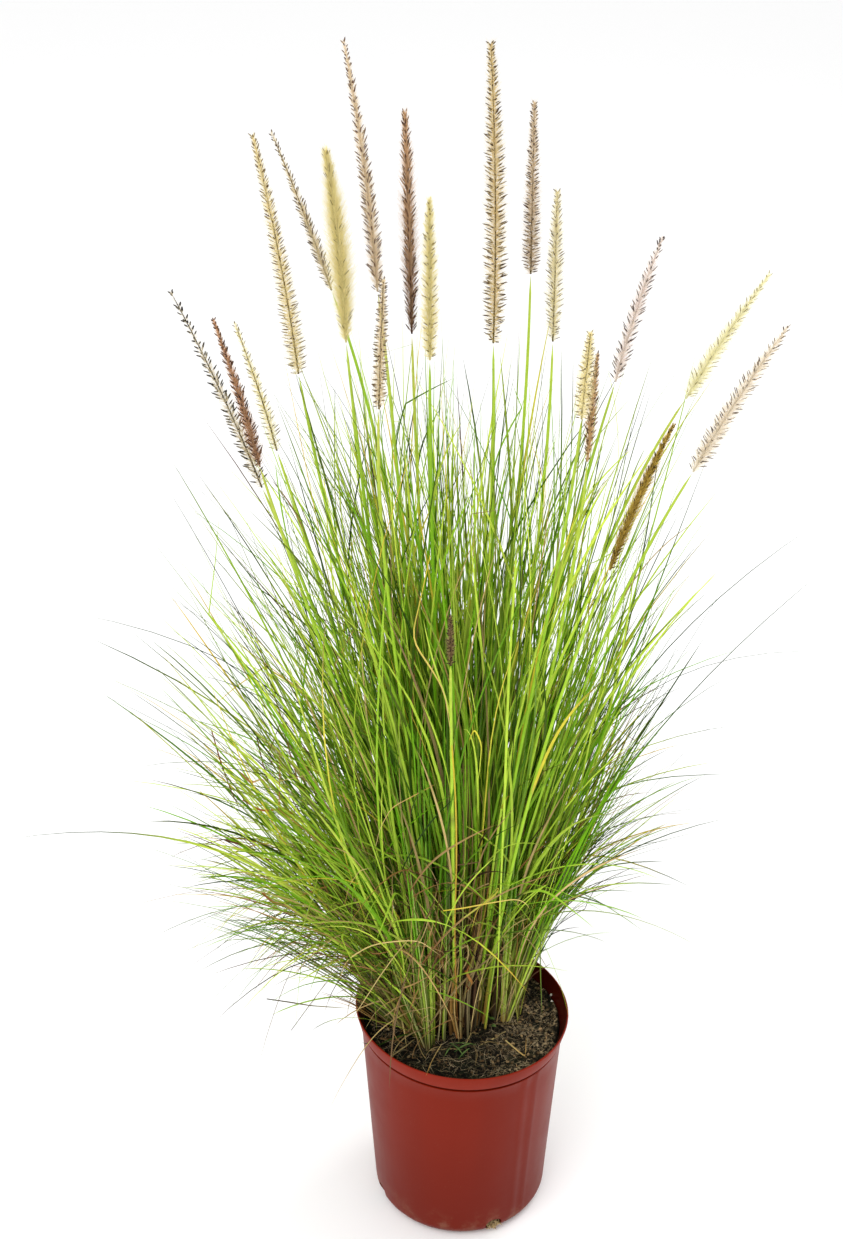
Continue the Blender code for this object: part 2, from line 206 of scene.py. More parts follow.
class BladeSettings(bpy.types.PropertyGroup):
    shoots: bpy.props.IntProperty(name="Shoots", description="Number of shoots in each tuft", default=18)
    blades: bpy.props.IntProperty(
        name="Blades", description="Number of fresh blades on each shoot", default=7
    )
    old_blades: bpy.props.IntProperty(
        name="Old blades", description="Number of short withered blades on each shoot", default=2
    )
    width: bpy.props.FloatProperty(
        name="Width", description="Width of the widest blades", unit="LENGTH", default=2.05 * MM
    )
    dry_share: bpy.props.FloatProperty(
        name="Dry share", description="Share of the shoots that have dried", subtype="FACTOR",
        default=0.09, min=0, max=1,
    )


class HeadSettings(bpy.types.PropertyGroup):
    spacing: bpy.props.FloatProperty(
        name="Spacing", description="Length of flower stalk from one spikelet to the next", unit="LENGTH",
        default=1.0 * MM,
    )
    bristles: bpy.props.IntProperty(
        name="Bristles", description="Number of bristles for each spikelet", default=17
    )
    bristle_radius: bpy.props.FloatProperty(
        name="Bristle radius", description="Radius of a bristle at its foot", unit="LENGTH",
        default=0.115 * MM,
    )


class StageSettings(bpy.types.PropertyGroup):
    floor: bpy.props.FloatVectorProperty(
        name="Floor", description="Colour of the floor", subtype="COLOR",
        default=(0.95, 0.95, 0.95), min=0, max=1,
    )
    daylight: bpy.props.FloatProperty(
        name="Daylight", description="Strength of the even light from all round", default=1.0
    )
    key_power: bpy.props.FloatProperty(
        name="Key light", description="Power of the large light above and in front", unit="POWER", default=29
    )


class GrassSettings(bpy.types.PropertyGroup):
    pot: bpy.props.PointerProperty(type=PotSettings)
    soil: bpy.props.PointerProperty(type=SoilSettings)
    blade: bpy.props.PointerProperty(type=BladeSettings)
    head: bpy.props.PointerProperty(type=HeadSettings)
    stage: bpy.props.PointerProperty(type=StageSettings)


# --- shaders ---


class Value:
    """A socket of a shader, so that shader maths reads as Python."""

    def __init__(self, graph, socket):
        self.graph = graph
        self.socket = socket

    def maths(self, operation, *others):
        return self.graph.node("ShaderNodeMath", {"operation": operation}, dict(enumerate((self, *others))))

    def __add__(self, other):
        return self.maths("ADD", other)

    def __mul__(self, other):
        return self.maths("MULTIPLY", other)

    def __rsub__(self, other):
        return self.graph.node("ShaderNodeMath", {"operation": "SUBTRACT"}, {0: other, 1: self})

    __radd__ = __add__
    __rmul__ = __mul__

    def between(self, low, high):
        """0 below low, 1 above high and smooth between them."""
        sockets = {"Value": self, "From Min": low, "From Max": high}
        return self.graph.node("ShaderNodeMapRange", {"interpolation_type": "SMOOTHSTEP"}, sockets)


class Graph:
    """The nodes of one material."""

    def __init__(self, name, constants):
        self.material = bpy.data.materials.new(name)
        self.material.use_nodes = True
        self.tree = self.material.node_tree
        self.shader = self.tree.nodes["Principled BSDF"]
        for socket, value in constants.items():
            self.shader.inputs[socket].default_value = value

    def node(self, kind, settings, sockets, output=0):
        """Adds a node: its settings are set first, then its sockets get their values or links."""
        made = self.tree.nodes.new(kind)
        for name, value in settings.items():
            setattr(made, name, value)
        for name, value in sockets.items():
            if isinstance(value, Value):
                self.tree.links.new(value.socket, made.inputs[name])
            else:
                made.inputs[name].default_value = value
        return Value(self, made.outputs[output])

    def feed(self, sockets):
        for name, value in sockets.items():
            self.tree.links.new(value.socket, self.shader.inputs[name])

    def place(self, output="Object"):
        return self.node("ShaderNodeTexCoord", {}, {}, output)

    def vector(self, operation, first, second, output="Vector"):
        return self.node("ShaderNodeVectorMath", {"operation": operation}, {0: first, 1: second}, output)

    def attribute(self, name, output="Color"):
        return self.node("ShaderNodeAttribute", {"attribute_name": name}, {}, output)

    def stretch(self, vector, scale):
        return self.node("ShaderNodeMapping", {"vector_type": "POINT"}, {"Vector": vector, "Scale": scale})

    def noise(self, vector, scale, detail=3.0, roughness=0.55):
        sockets = {"Vector": vector, "Scale": scale, "Detail": detail, "Roughness": roughness}
        return self.node("ShaderNodeTexNoise", {}, sockets)

    def mix(self, share, first, second, blend_type="MIX"):
        """Colour: first where share is 0, second where it is 1."""
        colours = [c if isinstance(c, Value) else (*c, 1) for c in (first, second)]
        sockets = {"Factor": share, 6: colours[0], 7: colours[1]}
        return self.node("ShaderNodeMix", {"data_type": "RGBA", "blend_type": blend_type}, sockets, 2)

    def bump(self, height, strength, distance):
        sockets = {"Height": height, "Strength": strength, "Distance": distance}
        self.feed({"Normal": self.node("ShaderNodeBump", {}, sockets)})


def pot_plastic(settings):
    """Satin plastic, a little darker and dusty towards the foot, with faint vertical drag marks. The band is
    painted lighter, and painted shade darkens the groove under it and the inside of the pot.
    """
    graph = Graph("pot_plastic", {"Specular IOR Level": 0.1})
    place = graph.place()
    height = graph.node("ShaderNodeSeparateXYZ", {}, {"Vector": place}, "Z")
    plastic = np.array(settings.plastic)
    low = height.between(10 * MM, 150 * MM)
    colour = graph.mix(low, plastic * 0.78, plastic)
    # Painted light: the band round the rim is painted a quarter lighter than the wall under it.
    band = height.between(POT_HEIGHT - BAND_HEIGHT - 1 * MM, POT_HEIGHT - BAND_HEIGHT + 1 * MM)
    colour = graph.mix(band * 0.75, colour, plastic * 1.25 + 0.004)
    mottle = graph.noise(place, 22.0, 4.0).between(0.35, 0.75)
    colour = graph.mix(mottle * 0.22, colour, plastic * 0.78)
    drag = graph.noise(graph.stretch(place, (190.0, 190.0, 4.0)), 1.0, 3.0)
    streak = graph.noise(graph.stretch(place, (34.0, 34.0, 0.8)), 1.0, 2.0).between(0.35, 0.7)
    colour = graph.mix(streak * 0.3, colour, plastic * 0.72)
    dust_low = 1 - height.between(4 * MM, 34 * MM)
    specks = graph.noise(place, 620.0, 2.0).between(0.6, 0.78)
    dust = graph.noise(place, 60.0, 5.0, 0.65).between(0.45, 0.8)
    share = dust * dust_low * 0.5 + specks * dust * 0.16
    colour = graph.mix(share, colour, paint(156, 128, 104))
    # Painted shade: the inside of the pot, facing the axis, is painted far darker than the outside.
    level = graph.stretch(place, (1.0, 1.0, 0.0))
    outside = graph.vector("DOT_PRODUCT", level, graph.place("Normal"), "Value")
    colour = graph.mix(outside.between(-0.02, -0.01), plastic * 0.32, colour)
    # Painted shade: a nearly black line is painted in the groove under the band.
    foot = POT_HEIGHT - BAND_HEIGHT
    groove = height.between(foot - 3 * MM, foot - 2.2 * MM) * (1 - height.between(foot - 1.0 * MM, foot))
    colour = graph.mix(groove * 0.85, colour, paint(46, 8, 4))
    graph.feed({"Base Color": colour, "Roughness": 0.34 + mottle * 0.08 + drag * 0.08 + share * 0.4})
    graph.bump(drag * 0.5 + graph.noise(place, 90.0, 3.0), 0.22, 0.25 * MM)
    return graph.material


def potting_soil():
    """Dark moist peat, blackish green with algae in places and browner in others."""
    graph = Graph("potting_soil", {"Specular IOR Level": 0.12})
    place = graph.place()
    lumps = graph.noise(place, 420.0, 6.0, 0.7)
    patches = graph.noise(place, 34.0, 3.0).between(0.42, 0.6)
    dark = graph.mix(patches, paint(3, 3, 0), paint(8, 5, 2))
    light = graph.mix(patches, paint(76, 74, 52), paint(116, 94, 66))
    colour = graph.mix(lumps.between(0.54, 0.7), dark, light)
    across = graph.node("ShaderNodeSeparateXYZ", {}, {"Vector": place}, "X")
    brown = across.between(12 * MM, 48 * MM) * graph.noise(place, 60.0, 3.0).between(0.35, 0.6)
    bark = graph.mix(lumps.between(0.46, 0.62), paint(10, 6, 2), paint(184, 160, 124))
    colour = graph.mix(brown * 0.8, colour, bark)
    algae = graph.noise(place, 75.0, 4.0).between(0.5, 0.68) * (1 - brown)
    colour = graph.mix(algae * 0.45, colour, paint(26, 34, 16))
    graph.feed({"Base Color": colour, "Roughness": 0.7 + lumps * 0.4})
    graph.bump(lumps, 0.9, 0.9 * MM)
    return graph.material


def grass(name, streaks, roughness, bump):
    """Anything that grew: the tint of each point, with fine streaks along the fibres."""
    graph = Graph(name, {"Specular IOR Level": 0.12})
    tint = graph.attribute("tint")
    grain = graph.attribute("grain", "Vector")
    ribs = graph.noise(graph.stretch(grain, (3.2 / MM, 0.035 / MM, 31.0)), 1.0, 3.0)
    blotches = graph.noise(graph.stretch(grain, (0.35 / MM, 0.12 / MM, 57.0)), 1.0, 3.0).between(0.35, 0.7)
    dark = graph.mix(1.0, tint, (0.55, 0.6, 0.5), "MULTIPLY")
    colour = graph.mix(ribs.between(0.35, 0.7) * streaks, tint, dark)
    pale = graph.mix(1.0, tint, (1.28, 1.2, 1.3), "MULTIPLY")
    colour = graph.mix(blotches * 0.5, colour, pale)
    graph.feed({"Base Color": colour, "Roughness": roughness + blotches * 0.12})
    graph.bump(ribs, bump, 0.12 * MM)
    return graph.material


# --- many thin pieces as arrays ---


def unit(vectors):
    return vectors / np.maximum(np.linalg.norm(vectors, axis=-1, keepdims=True), 1e-12)


def blend(first, second, share):
    """Between two colours or arrays of them, by an array of shares."""
    share = np.clip(np.asarray(share, float), 0, 1)[..., None]
    return first * (1 - share) + second * share


def outward(angle):
    return np.stack((np.cos(angle), np.sin(angle), np.zeros_like(angle)), -1)


def direction(angle, tilt):
    return outward(angle) * np.sin(tilt)[..., None] + UP * np.cos(tilt)[..., None]


def frames(lines, reference, twist):
    """Side and front vectors along lines of points (strand, station, xyz), turned by twist."""
    ahead = unit(np.gradient(lines, axis=1))
    reference = reference[:, None, :]
    side = unit(reference - ahead * np.sum(ahead * reference, -1, keepdims=True))
    front = np.cross(ahead, side)
    turn = np.broadcast_to(twist, lines.shape[:2])[..., None]
    return side * np.cos(turn) + front * np.sin(turn), front * np.cos(turn) - side * np.sin(turn)


def round_section(sides):
    angles = np.arange(sides) * math.tau / sides
    return np.stack((np.cos(angles), np.sin(angles)), 1)


# Half of a folded blade's section to each side of its keel, as shares of its width: a closed, thin V
FOLDED_SECTION = np.array(((-0.5, 0.05), (0.0, -0.17), (0.5, 0.05), (0.0, -0.07)))


class Strands:
    """Closed tapering strands in arrays, which are joined in one mesh."""

    def __init__(self):
        self.blocks = []

    def add(self, lines, reference, section, widths, tints, twist=0.0, depths=None):
        """Sweeps a section along each line: lines (n, s, 3), widths (n, s), tints (n, s, 3) or with a
        colour for each point of the section. The last station is the strand's pointed tip."""
        sides, fronts = frames(lines, reference, twist)
        depths = widths if depths is None else depths
        n, s, _ = lines.shape
        k = len(section)
        across = section[:, 0][None, None, :, None] * (widths[..., None] * sides)[:, :, None, :]
        deep = section[:, 1][None, None, :, None] * (depths[..., None] * fronts)[:, :, None, :]
        rings = (lines[:, :, None, :] + across + deep)[:, :-1].reshape(n, -1, 3)
        points = np.concatenate((rings, lines[:, -1:]), 1)
        tints = np.broadcast_to(tints if tints.ndim == 4 else tints[:, :, None, :], (n, s, k, 3))
        colours = np.concatenate((tints[:, :-1].reshape(n, -1, 3), tints[:, -1:, 0]), 1)
        along = np.cumsum(np.linalg.norm(np.diff(lines, axis=1, prepend=lines[:, :1]), axis=-1), 1)
        span = section[:, 0][None, None, :] * widths[..., None]
        grain = np.stack((span, np.broadcast_to(along[..., None], span.shape),
                          np.broadcast_to(np.arange(n)[:, None, None], span.shape)), -1)
        grain = np.concatenate((grain[:, :-1].reshape(n, -1, 3), grain[:, -1:, 0]), 1)
        self.blocks.append((points, colours, grain, s, k))

    def faces(self, s, k):
        """Corners of one strand's faces, quads then triangles, and their places in its cell of the map."""
        ring, place = np.meshgrid(np.arange(s - 2), np.arange(k), indexing="ij")
        after = (place + 1) % k
        quads = (ring * k + place, ring * k + after, (ring + 1) * k + after, (ring + 1) * k + place)
        u0, u1, v0, v1 = place / k, (place + 1) / k, ring / (s - 1), (ring + 1) / (s - 1)
        quad_uvs = np.stack((u0, v0, u1, v0, u1, v1, u0, v1), -1).reshape(-1, 4, 2)
        place, after, last = np.arange(k), (np.arange(k) + 1) % k, (s - 2) * k
        tip = np.stack((last + place, last + after, np.full(k, (s - 1) * k)), -1)
        base = np.full(k, (s - 2) / (s - 1))
        tip_uvs = np.stack((place / k, base, (place + 1) / k, base, (place + 0.5) / k, base * 0 + 1), -1)
        fan = np.arange(1, k - 1)
        cap = np.stack((fan * 0, fan + 1, fan), -1)
        cap_uvs = np.stack((fan * 0, fan * 0, (fan + 1) / k, fan * 0, fan / k, fan * 0), -1)
        tris = np.concatenate((tip, cap))
        tri_uvs = np.concatenate((tip_uvs, cap_uvs)).reshape(-1, 3, 2)
        return np.stack(quads, -1).reshape(-1, 4), quad_uvs, tris, tri_uvs

    def join(self, name, material, rows):
        """One object of all strands. In its map each strand has a cell of its own, in this many rows."""
        total = sum(len(block[0]) for block in self.blocks)
        columns = math.ceil(total / rows)
        quads, tris, quad_uvs, tri_uvs = [], [], [], []
        start = strand = 0
        for points, _, _, s, k in self.blocks:
            n, size = points.shape[:2]
            numbers = np.arange(strand, strand + n)
            corner = np.stack((numbers % columns / columns, numbers // columns / rows), -1)
            cell = np.array((1 / columns, 1 / rows))
            offset = (start + np.arange(n) * size)[:, None, None]
            quad, quad_map, tri, tri_map = self.faces(s, k)
            kinds = ((quad, quad_map, quads, quad_uvs), (tri, tri_map, tris, tri_uvs))
            for faces, uvs, all_faces, all_uvs in kinds:
                all_faces.append((faces[None] + offset).reshape(-1, faces.shape[1]))
                inset = 0.08 + uvs * 0.84
                all_uvs.append((corner[:, None, None] + inset[None] * cell).reshape(-1, 2))
            start += n * size
            strand += n
        gathered = [np.concatenate([block[i].reshape(-1, 3) for block in self.blocks]) for i in range(3)]
        thing = mesh_object(name, gathered[0], np.concatenate(quads), np.concatenate(tris), material)
        layer = thing.data.uv_layers.new(name="OFBake")
        layer.uv.foreach_set("vector", np.concatenate(quad_uvs + tri_uvs).ravel().astype(np.float32))
        tint = thing.data.attributes.new("tint", "FLOAT_COLOR", "POINT")
        opaque = np.ones((len(gathered[1]), 1))
        tint.data.foreach_set("color", np.concatenate((gathered[1], opaque), 1).ravel().astype(np.float32))
        grain = thing.data.attributes.new("grain", "FLOAT_VECTOR", "POINT")
        grain.data.foreach_set("vector", gathered[2].ravel().astype(np.float32))
        return thing


def mesh_object(name, points, quads, tris, material):
    """An object of these arrays, smooth but for its folds."""
    mesh = bpy.data.meshes.new(name)
    mesh.vertices.add(len(points))
    mesh.vertices.foreach_set("co", points.ravel().astype(np.float32))
    corners = np.concatenate((quads.ravel(), tris.ravel()))
    mesh.loops.add(len(corners))
    mesh.loops.foreach_set("vertex_index", corners.astype(np.int32))
    starts = np.concatenate((np.arange(len(quads)) * 4, len(quads) * 4 + np.arange(len(tris)) * 3))
    mesh.polygons.add(len(starts))
    mesh.polygons.foreach_set("loop_start", starts.astype(np.int32))
    mesh.update(calc_edges=True)
    mesh.shade_smooth()
    mesh.set_sharp_from_angle(angle=math.radians(50))
    mesh.materials.append(material)
    thing = bpy.data.objects.new(name, mesh)
    bpy.context.scene.collection.objects.link(thing)
    return thing


def hand_over(thing, slot, *nodes):
    """Hangs a finished piece on the part's body, for the nodes that it stands for."""
    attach(thing, "root")
    if nodes:
        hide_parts(*nodes)


# --- how the clump spreads ---


def lean(feet):
    """Direction and tilt of the blades whose feet stand there, and how far out that is, 0 to 1."""
    away = feet - CLUMP_CENTRE
    share = np.minimum(np.hypot(away[:, 0], away[:, 1]) / CLUMP_RADIUS, 1.1)
    ahead = unit(away * (1, 1, 0))
    way = ahead[:, :2] * (EVEN_LEAN * share + EDGE_LEAN * share**3)[:, None]
    way[:, 0] -= LEAN_TO_LEFT[0] + LEAN_TO_LEFT[1] * share**2
    way[:, 1] += LEAN_FROM_FRONT * (1 - ahead[:, 1]) * share**2
    tilt = np.radians(np.minimum(np.hypot(way[:, 0], way[:, 1]), MOST_LEAN))
    return np.arctan2(way[:, 1], way[:, 0]), tilt, share


def crown_of(node):
    """Middle of the foot of a tuft's solid, on the soil."""
    points = np.array([v.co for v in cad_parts[node].data.vertices])
    foot = points[points[:, 2] < SOIL_TOP + 1 * MM]
    return np.array((*(foot.min(0) + foot.max(0))[:2] / 2, SOIL_TOP))


def rings_of(node, count):
    """Middles and radii of the rings of points along a rod's solid, from its foot to its tip."""
    points = np.array([v.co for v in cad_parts[node].data.vertices])
    middle = points.mean(0)
    axis = np.linalg.svd(points - middle, full_matrices=False)[2][0]
    along = (points - middle) @ (axis if axis[2] > 0 else -axis)
    order = np.argsort(along)
    cuts = np.sort(np.argsort(np.diff(along[order]))[1 - count:]) + 1
    rings = np.split(points[order], cuts)
    middles = np.array([(np.unique(ring.round(6), axis=0)).mean(0) for ring in rings])
    radii = np.array([np.linalg.norm(ring - at, axis=1).mean() for ring, at in zip(rings, middles)])
    return middles, radii


def smooth_line(middles, t):
    """Points at the shares t on the smooth curve through a rod's rings."""
    steps = np.linspace(0, 1, len(middles))
    return np.stack([np.polyval(np.polyfit(steps, middles[:, i], 3), t) for i in range(3)], -1)


def arches(start, first, tips, t, bend=BLADE_BEND):
    """Lines that leave start towards first and arch over to tips."""
    chord = np.linalg.norm(tips - start, axis=1)
    control = (start + first * (chord * bend)[:, None])[:, None, :]
    t = t[None, :, None]
    return start[:, None, :] * (1 - t) ** 2 + 2 * control * t * (1 - t) + tips[:, None, :] * t**2


def turn_about(vectors, axis, angle):
    """Turns vectors about unit axes by angles."""
    cos, sin = np.cos(angle)[..., None], np.sin(angle)[..., None]
    along = np.sum(vectors * axis, -1, keepdims=True) * axis
    return vectors * cos + np.cross(axis, vectors) * sin + along * (1 - cos)


def fold(lines, t, at, angle, axis):
    """Folds each line over at the share at of its length, by angle about axis."""
    station = np.clip(np.searchsorted(t, at), 1, len(t) - 2)
    hinge = lines[np.arange(len(lines)), station][:, None, :]
    past = (np.arange(len(t))[None, :] > station[:, None]) * angle[:, None]
    return hinge + turn_about(lines - hinge, np.broadcast_to(axis[:, None, :], lines.shape), past)


def wander(chance, lines, t, amount):
    """Bends lines a little, most in the middle, and less towards the foot."""
    n = len(lines)
    way = unit(chance.normal(size=(2, n, 3)) * (1, 1, 0.3))[:, :, None, :]
    size = chance.normal(size=(2, n))[..., None, None] * amount
    first = np.sin(math.pi * t)[None, :, None] * way[0] * size[0]
    second = np.sin(math.tau * t)[None, :, None] * way[1] * size[1] * 0.4
    return lines + first + second


# --- blades ---

BLADE_STATIONS = np.linspace(0, 1, 12)
LONG_BLADE_WIDTH = 2.9 * MM
PAINTED_SHADE_REACH = np.array((60, 55, 260)) * MM  # how far the painted shade on the blades in the clump's middle reaches
BLADE_PROFILE = ((0, 0.1, 0.28, 0.5, 0.72, 0.9, 1), (0.7, 0.9, 1, 0.94, 0.76, 0.45, 0.12))
SHEATH_STATIONS = np.linspace(0, 1, 8)
FRESH, DRY, OLD = 0, 1, 2
PAINTED_LIGHT_TINT = np.array((0.24, 0.08, 0.45))  # painted light: how much redder, greener and bluer the blades far out and high up are painted
SHREDS = 110
CROSSING = 120


def leaf_tints(chance, t, age, ripeness):
    """Colours along blades of these ages, pale at the foot, and with dark tips on the riper ones."""
    n = len(age)
    along = np.broadcast_to(t, (n, len(t)))
    fresh = blend(DEEP_GREEN * 0.4, LEAF_GREEN, chance.beta(0.7, 0.7, n))
    fresh = blend(fresh, LIME, chance.random(n) ** 1.8)
    fresh = blend(fresh, YELLOW, (chance.random(n) > 0.965) * chance.uniform(0.4, 0.9, n))[:, None]
    colours = blend(PALE_SHEATH * 0.8, fresh, (along - 0.02) / chance.uniform(0.05, 0.16, (n, 1)))
    dark_tipped = chance.random((n, 1)) < 0.15 + 0.65 * ripeness[:, None]
    start = np.where(dark_tipped, chance.uniform(0.5, 1, (n, 1)), 1.2)
    ripe = np.array((DEEP_GREEN * 0.45, UMBER * 0.7, YELLOW * 0.7))
    ripe = ripe[chance.choice(3, n, p=(0.72, 0.08, 0.2))][:, None]
    colours = blend(colours, ripe, (along - start) / 0.25)
    dry = blend(blend(STRAW, RUST, chance.random(n) ** 1.6), UMBER, chance.random(n) ** 1.5 * 0.9)[:, None]
    dry = blend(dry, STRAW * 0.9, chance.random((n, 1)) * np.sin(along * math.pi) * 0.5)
    old = blend(blend(UMBER, DARK_UMBER, chance.random(n)), TAN_SHEATH, chance.random(n) ** 3)[:, None]
    old = blend(old, DEEP_GREEN * 0.6, chance.random((n, 1)) * 0.7 * (1 - along))
    return np.choose(age[:, None, None], (colours, dry, old))


class Shoots:
    """Shoots: where they stand and which way they lean, how high their sheaths are and which have died."""

    def __init__(self, chance, crown, radius, count, heights, dead_share):
        number = np.arange(count) + 0.5
        turn = number * GOLDEN_ANGLE + chance.uniform(0, math.tau)
        self.feet = crown + outward(turn) * (radius * np.sqrt(number / count))[:, None]
        self.feet += chance.normal(size=self.feet.shape) * (1.3 * MM, 1.3 * MM, 0)
        front = np.interp(self.feet[:, 0], *FRONT_EDGE) + chance.uniform(5 * MM, 17 * MM, count)
        self.feet[:, 1] = np.maximum(self.feet[:, 1], front)
        self.angle, self.tilt, self.share = lean(self.feet)
        self.first = direction(self.angle, self.tilt * FIRST_LEAN) + chance.normal(size=(count, 3)) * 0.04
        self.first = unit(self.first)
        self.heights = chance.uniform(*heights, count) * MM
        self.dead = chance.random(count) < dead_share

    def add_sheaths(self, strands, chance):
        """The sheathed lower part of each shoot, which its blades come out of."""
        n, t = len(self.feet), SHEATH_STATIONS
        foot = self.feet - UP * 4 * MM
        lines = foot[:, None, :] + self.first[:, None, :] * self.heights[:, None, None] * t[None, :, None]
        lines = wander(chance, lines, t, 0.8 * MM)
        taper = np.interp(t, (0, 0.08, 0.6, 1), (1.15, 1.1, 0.85, 0.4))
        girth = chance.uniform(1.0, 1.65, n)[:, None] * MM * taper
        rise = lines[..., 2] - SOIL_TOP
        tan = blend(blend(TAN_SHEATH, RUST, chance.random(n) ** 2), UMBER, chance.random(n) ** 2)[:, None]
        pale = blend(PALE_SHEATH, LIME, chance.random(n) * 0.6)
        pale = blend(pale, STRAW * 0.9, (chance.random(n) < 0.15) * 0.8)[:, None]
        green = blend(LEAF_GREEN, DEEP_GREEN * 0.7, chance.random(n))[:, None]
        colours = blend(tan, pale, (rise - chance.uniform(-14, 22, (n, 1)) * MM) / (16 * MM))
        colours = blend(colours, green, (rise - chance.uniform(20, 60, (n, 1)) * MM) / (45 * MM))
        # Painted shade: sheaths behind the clump's front edge are painted darker, most near the soil.
        behind = (self.feet[:, 1] - np.interp(self.feet[:, 0], *FRONT_EDGE))[:, None, None] / (14 * MM)
        deep = np.clip(behind, 0, 1) * np.exp(-rise / (45 * MM))[..., None]
        colours = colours * chance.uniform(0.45, 1.15, (n, 1, 1)) * (1 - 0.65 * deep)
        dead = blend(blend(TAN_SHEATH, STRAW, chance.random(n) ** 3), UMBER, chance.random(n) * 1.3)
        dead = blend(dead, DARK_UMBER, chance.random(n) ** 1.5)[:, None]
        colours = np.where(self.dead[:, None, None], np.broadcast_to(dead, colours.shape), colours)
        reference = np.cross(self.first, outward(chance.uniform(0, math.tau, n)))
        strands.add(lines, reference, round_section(8), girth, colours, depths=girth * 0.72)


class Blades:
    """Blades of some shoots as arrays: where they leave their sheaths, where they reach, and their ages."""

    def __init__(self, chance, shoots, fresh, old, width):
        each = fresh + old
        self.shoot = np.repeat(np.arange(len(shoots.feet)), each)
        feet, first, angle, tilt, share = (
            getattr(shoots, name)[self.shoot] for name in ("feet", "first", "angle", "tilt", "share")
        )
        n = len(feet)
        dead = shoots.dead[self.shoot]
        to_left = np.clip(0.6 - np.cos(angle), 0, 1)
        self.age = np.where(dead & (chance.random(n) < 0.85), DRY, FRESH)
        self.age = np.where(np.arange(n) % each >= fresh, OLD, self.age)
        self.age[(self.age == FRESH) & (chance.random(n) < 0.03 + 0.17 * to_left * (share > 0.65))] = DRY
        leave = shoots.heights[self.shoot] * chance.uniform(0.3, 0.98, n)
        self.start = feet + first * leave[:, None]
        self.first = unit(first + chance.normal(size=(n, 3)) * 0.05)
        droop = (chance.random(n) < 0.12 * to_left) * chance.uniform(6, 22, n)
        tilt = np.abs(tilt + np.radians(chance.normal(size=n) * (6 + 1.5 * share**2) + droop))
        tilt = np.minimum(tilt, np.radians(46 + 15 * to_left + chance.normal(size=n) * 5))
        longest = np.minimum(np.interp(np.degrees(tilt), *BLADE_LENGTHS),
                             np.interp(np.degrees(tilt) * np.cos(angle), *SIDE_LENGTHS))
        length = longest * MM * (1.06 - 0.52 * chance.random(n) ** 1.4)
        length *= np.choose(self.age, (1, chance.uniform(0.45, 0.95, n), 1))
        across = feet[:, 0] + np.sin(tilt) * np.cos(angle) * length
        length *= 1 - 0.17 * np.exp(-(((across - GAP_PLACE) / GAP_WIDTH) ** 2))
        length = np.where(self.age == OLD, leave + chance.uniform(20, 150, n) * MM, length)
        away = direction(angle + chance.normal(size=n) * 0.4, tilt)
        away = unit(away + chance.normal(size=(n, 3)) * np.where(self.age == OLD, 0.13, 0.06)[:, None])
        self.tips = feet + away * np.maximum(length, leave + 15 * MM)[:, None]
        self.bend = np.where(droop > 0, 0.66, BLADE_BEND)
        self.width = width * (0.5 + 0.55 * chance.random(n)) * np.clip(length / (300 * MM), 0.74, 1)
        self.width *= np.choose(self.age, (1, 0.7, 0.8))
        self.restless = np.choose(self.age, (0.012, 0.2, 0.04))
        self.taken = self.age != FRESH

    def fit(self, tip):
        """How well each free fresh blade points at a tip already."""
        return np.sum(unit(self.tips - self.start) * unit(tip - self.start), -1) - 9 * self.taken

    def reach_for(self, tip):
        best = int(np.argmax(self.fit(tip)))
        self.taken[best] = True
        self.tips[best] = tip
        self.width[best] = LONG_BLADE_WIDTH
        self.restless[best] = 0

    def add(self, strands, chance, chosen):
        add_blades(strands, chance, self.start[chosen], self.first[chosen], self.tips[chosen],
                   self.width[chosen], self.age[chosen], self.restless[chosen], self.bend[chosen])


def add_blades(strands, chance, start, first, tips, width, age, restless, bend=BLADE_BEND):
    """Blades from start to tips. The restless share of them is folded over."""
    n, t = len(start), BLADE_STATIONS
    lines = wander(chance, arches(start, first, tips, t, bend), t, 3 * MM)
    side = unit(np.cross(first + tips - start, UP) + chance.normal(size=(n, 3)) * 0.002)
    folded = chance.random(n) < restless
    length = np.linalg.norm(tips - start, axis=1)
    at = np.maximum(chance.uniform(0.35, 0.9, n), 1 - 70 * MM / length)
    angle = np.where(folded, chance.uniform(0.5, 2.3, n) * chance.choice((-1, 1), n), 0)
    lines = fold(lines, t, at, angle, unit(side + chance.normal(size=(n, 3)) * 0.6))
    lines[..., 2] = np.maximum(lines[..., 2], SOIL_TOP + 1.5 * MM)
    widths = width[:, None] * np.interp(t, *BLADE_PROFILE)
    twist = chance.normal(size=(n, 1)) * 0.7 + t * chance.normal(size=(n, 1)) * 1.5
    tightness = chance.uniform(0.75, 1.6, (n, 1)) * np.interp(t, (0, 0.3, 1), (1.8, 1, 1.3))
    # Painted shade: blades are painted darker in the clump's middle and close to the soil.
    inside = np.exp(-np.sum(((lines - CLUMP_CENTRE - UP * SOIL_TOP) / PAINTED_SHADE_REACH) ** 2, -1))
    ripeness = np.clip(np.linalg.norm((tips - start)[:, :2], axis=1) / (160 * MM), 0, 1)
    low = np.exp(-(lines[..., 2] - SOIL_TOP) / (45 * MM))
    # Painted light: fresh blades far out from the clump or high up are painted paler and bluer.
    spread = np.linalg.norm((lines - CLUMP_CENTRE)[..., :2], axis=-1)
    painted_light = np.maximum((spread - 55 * MM) / (100 * MM), (lines[..., 2] - 420 * MM) / (200 * MM))
    painted_light = np.clip(painted_light, 0, 1) * (age == FRESH)[:, None]
    tints = leaf_tints(chance, t, age, ripeness) * (1 + painted_light[..., None] * PAINTED_LIGHT_TINT)
    tints *= ((1 - 0.54 * inside) * (1 - 0.33 * low))[..., None]
    strands.add(lines, side, FOLDED_SECTION, widths, tints, twist, widths * tightness)


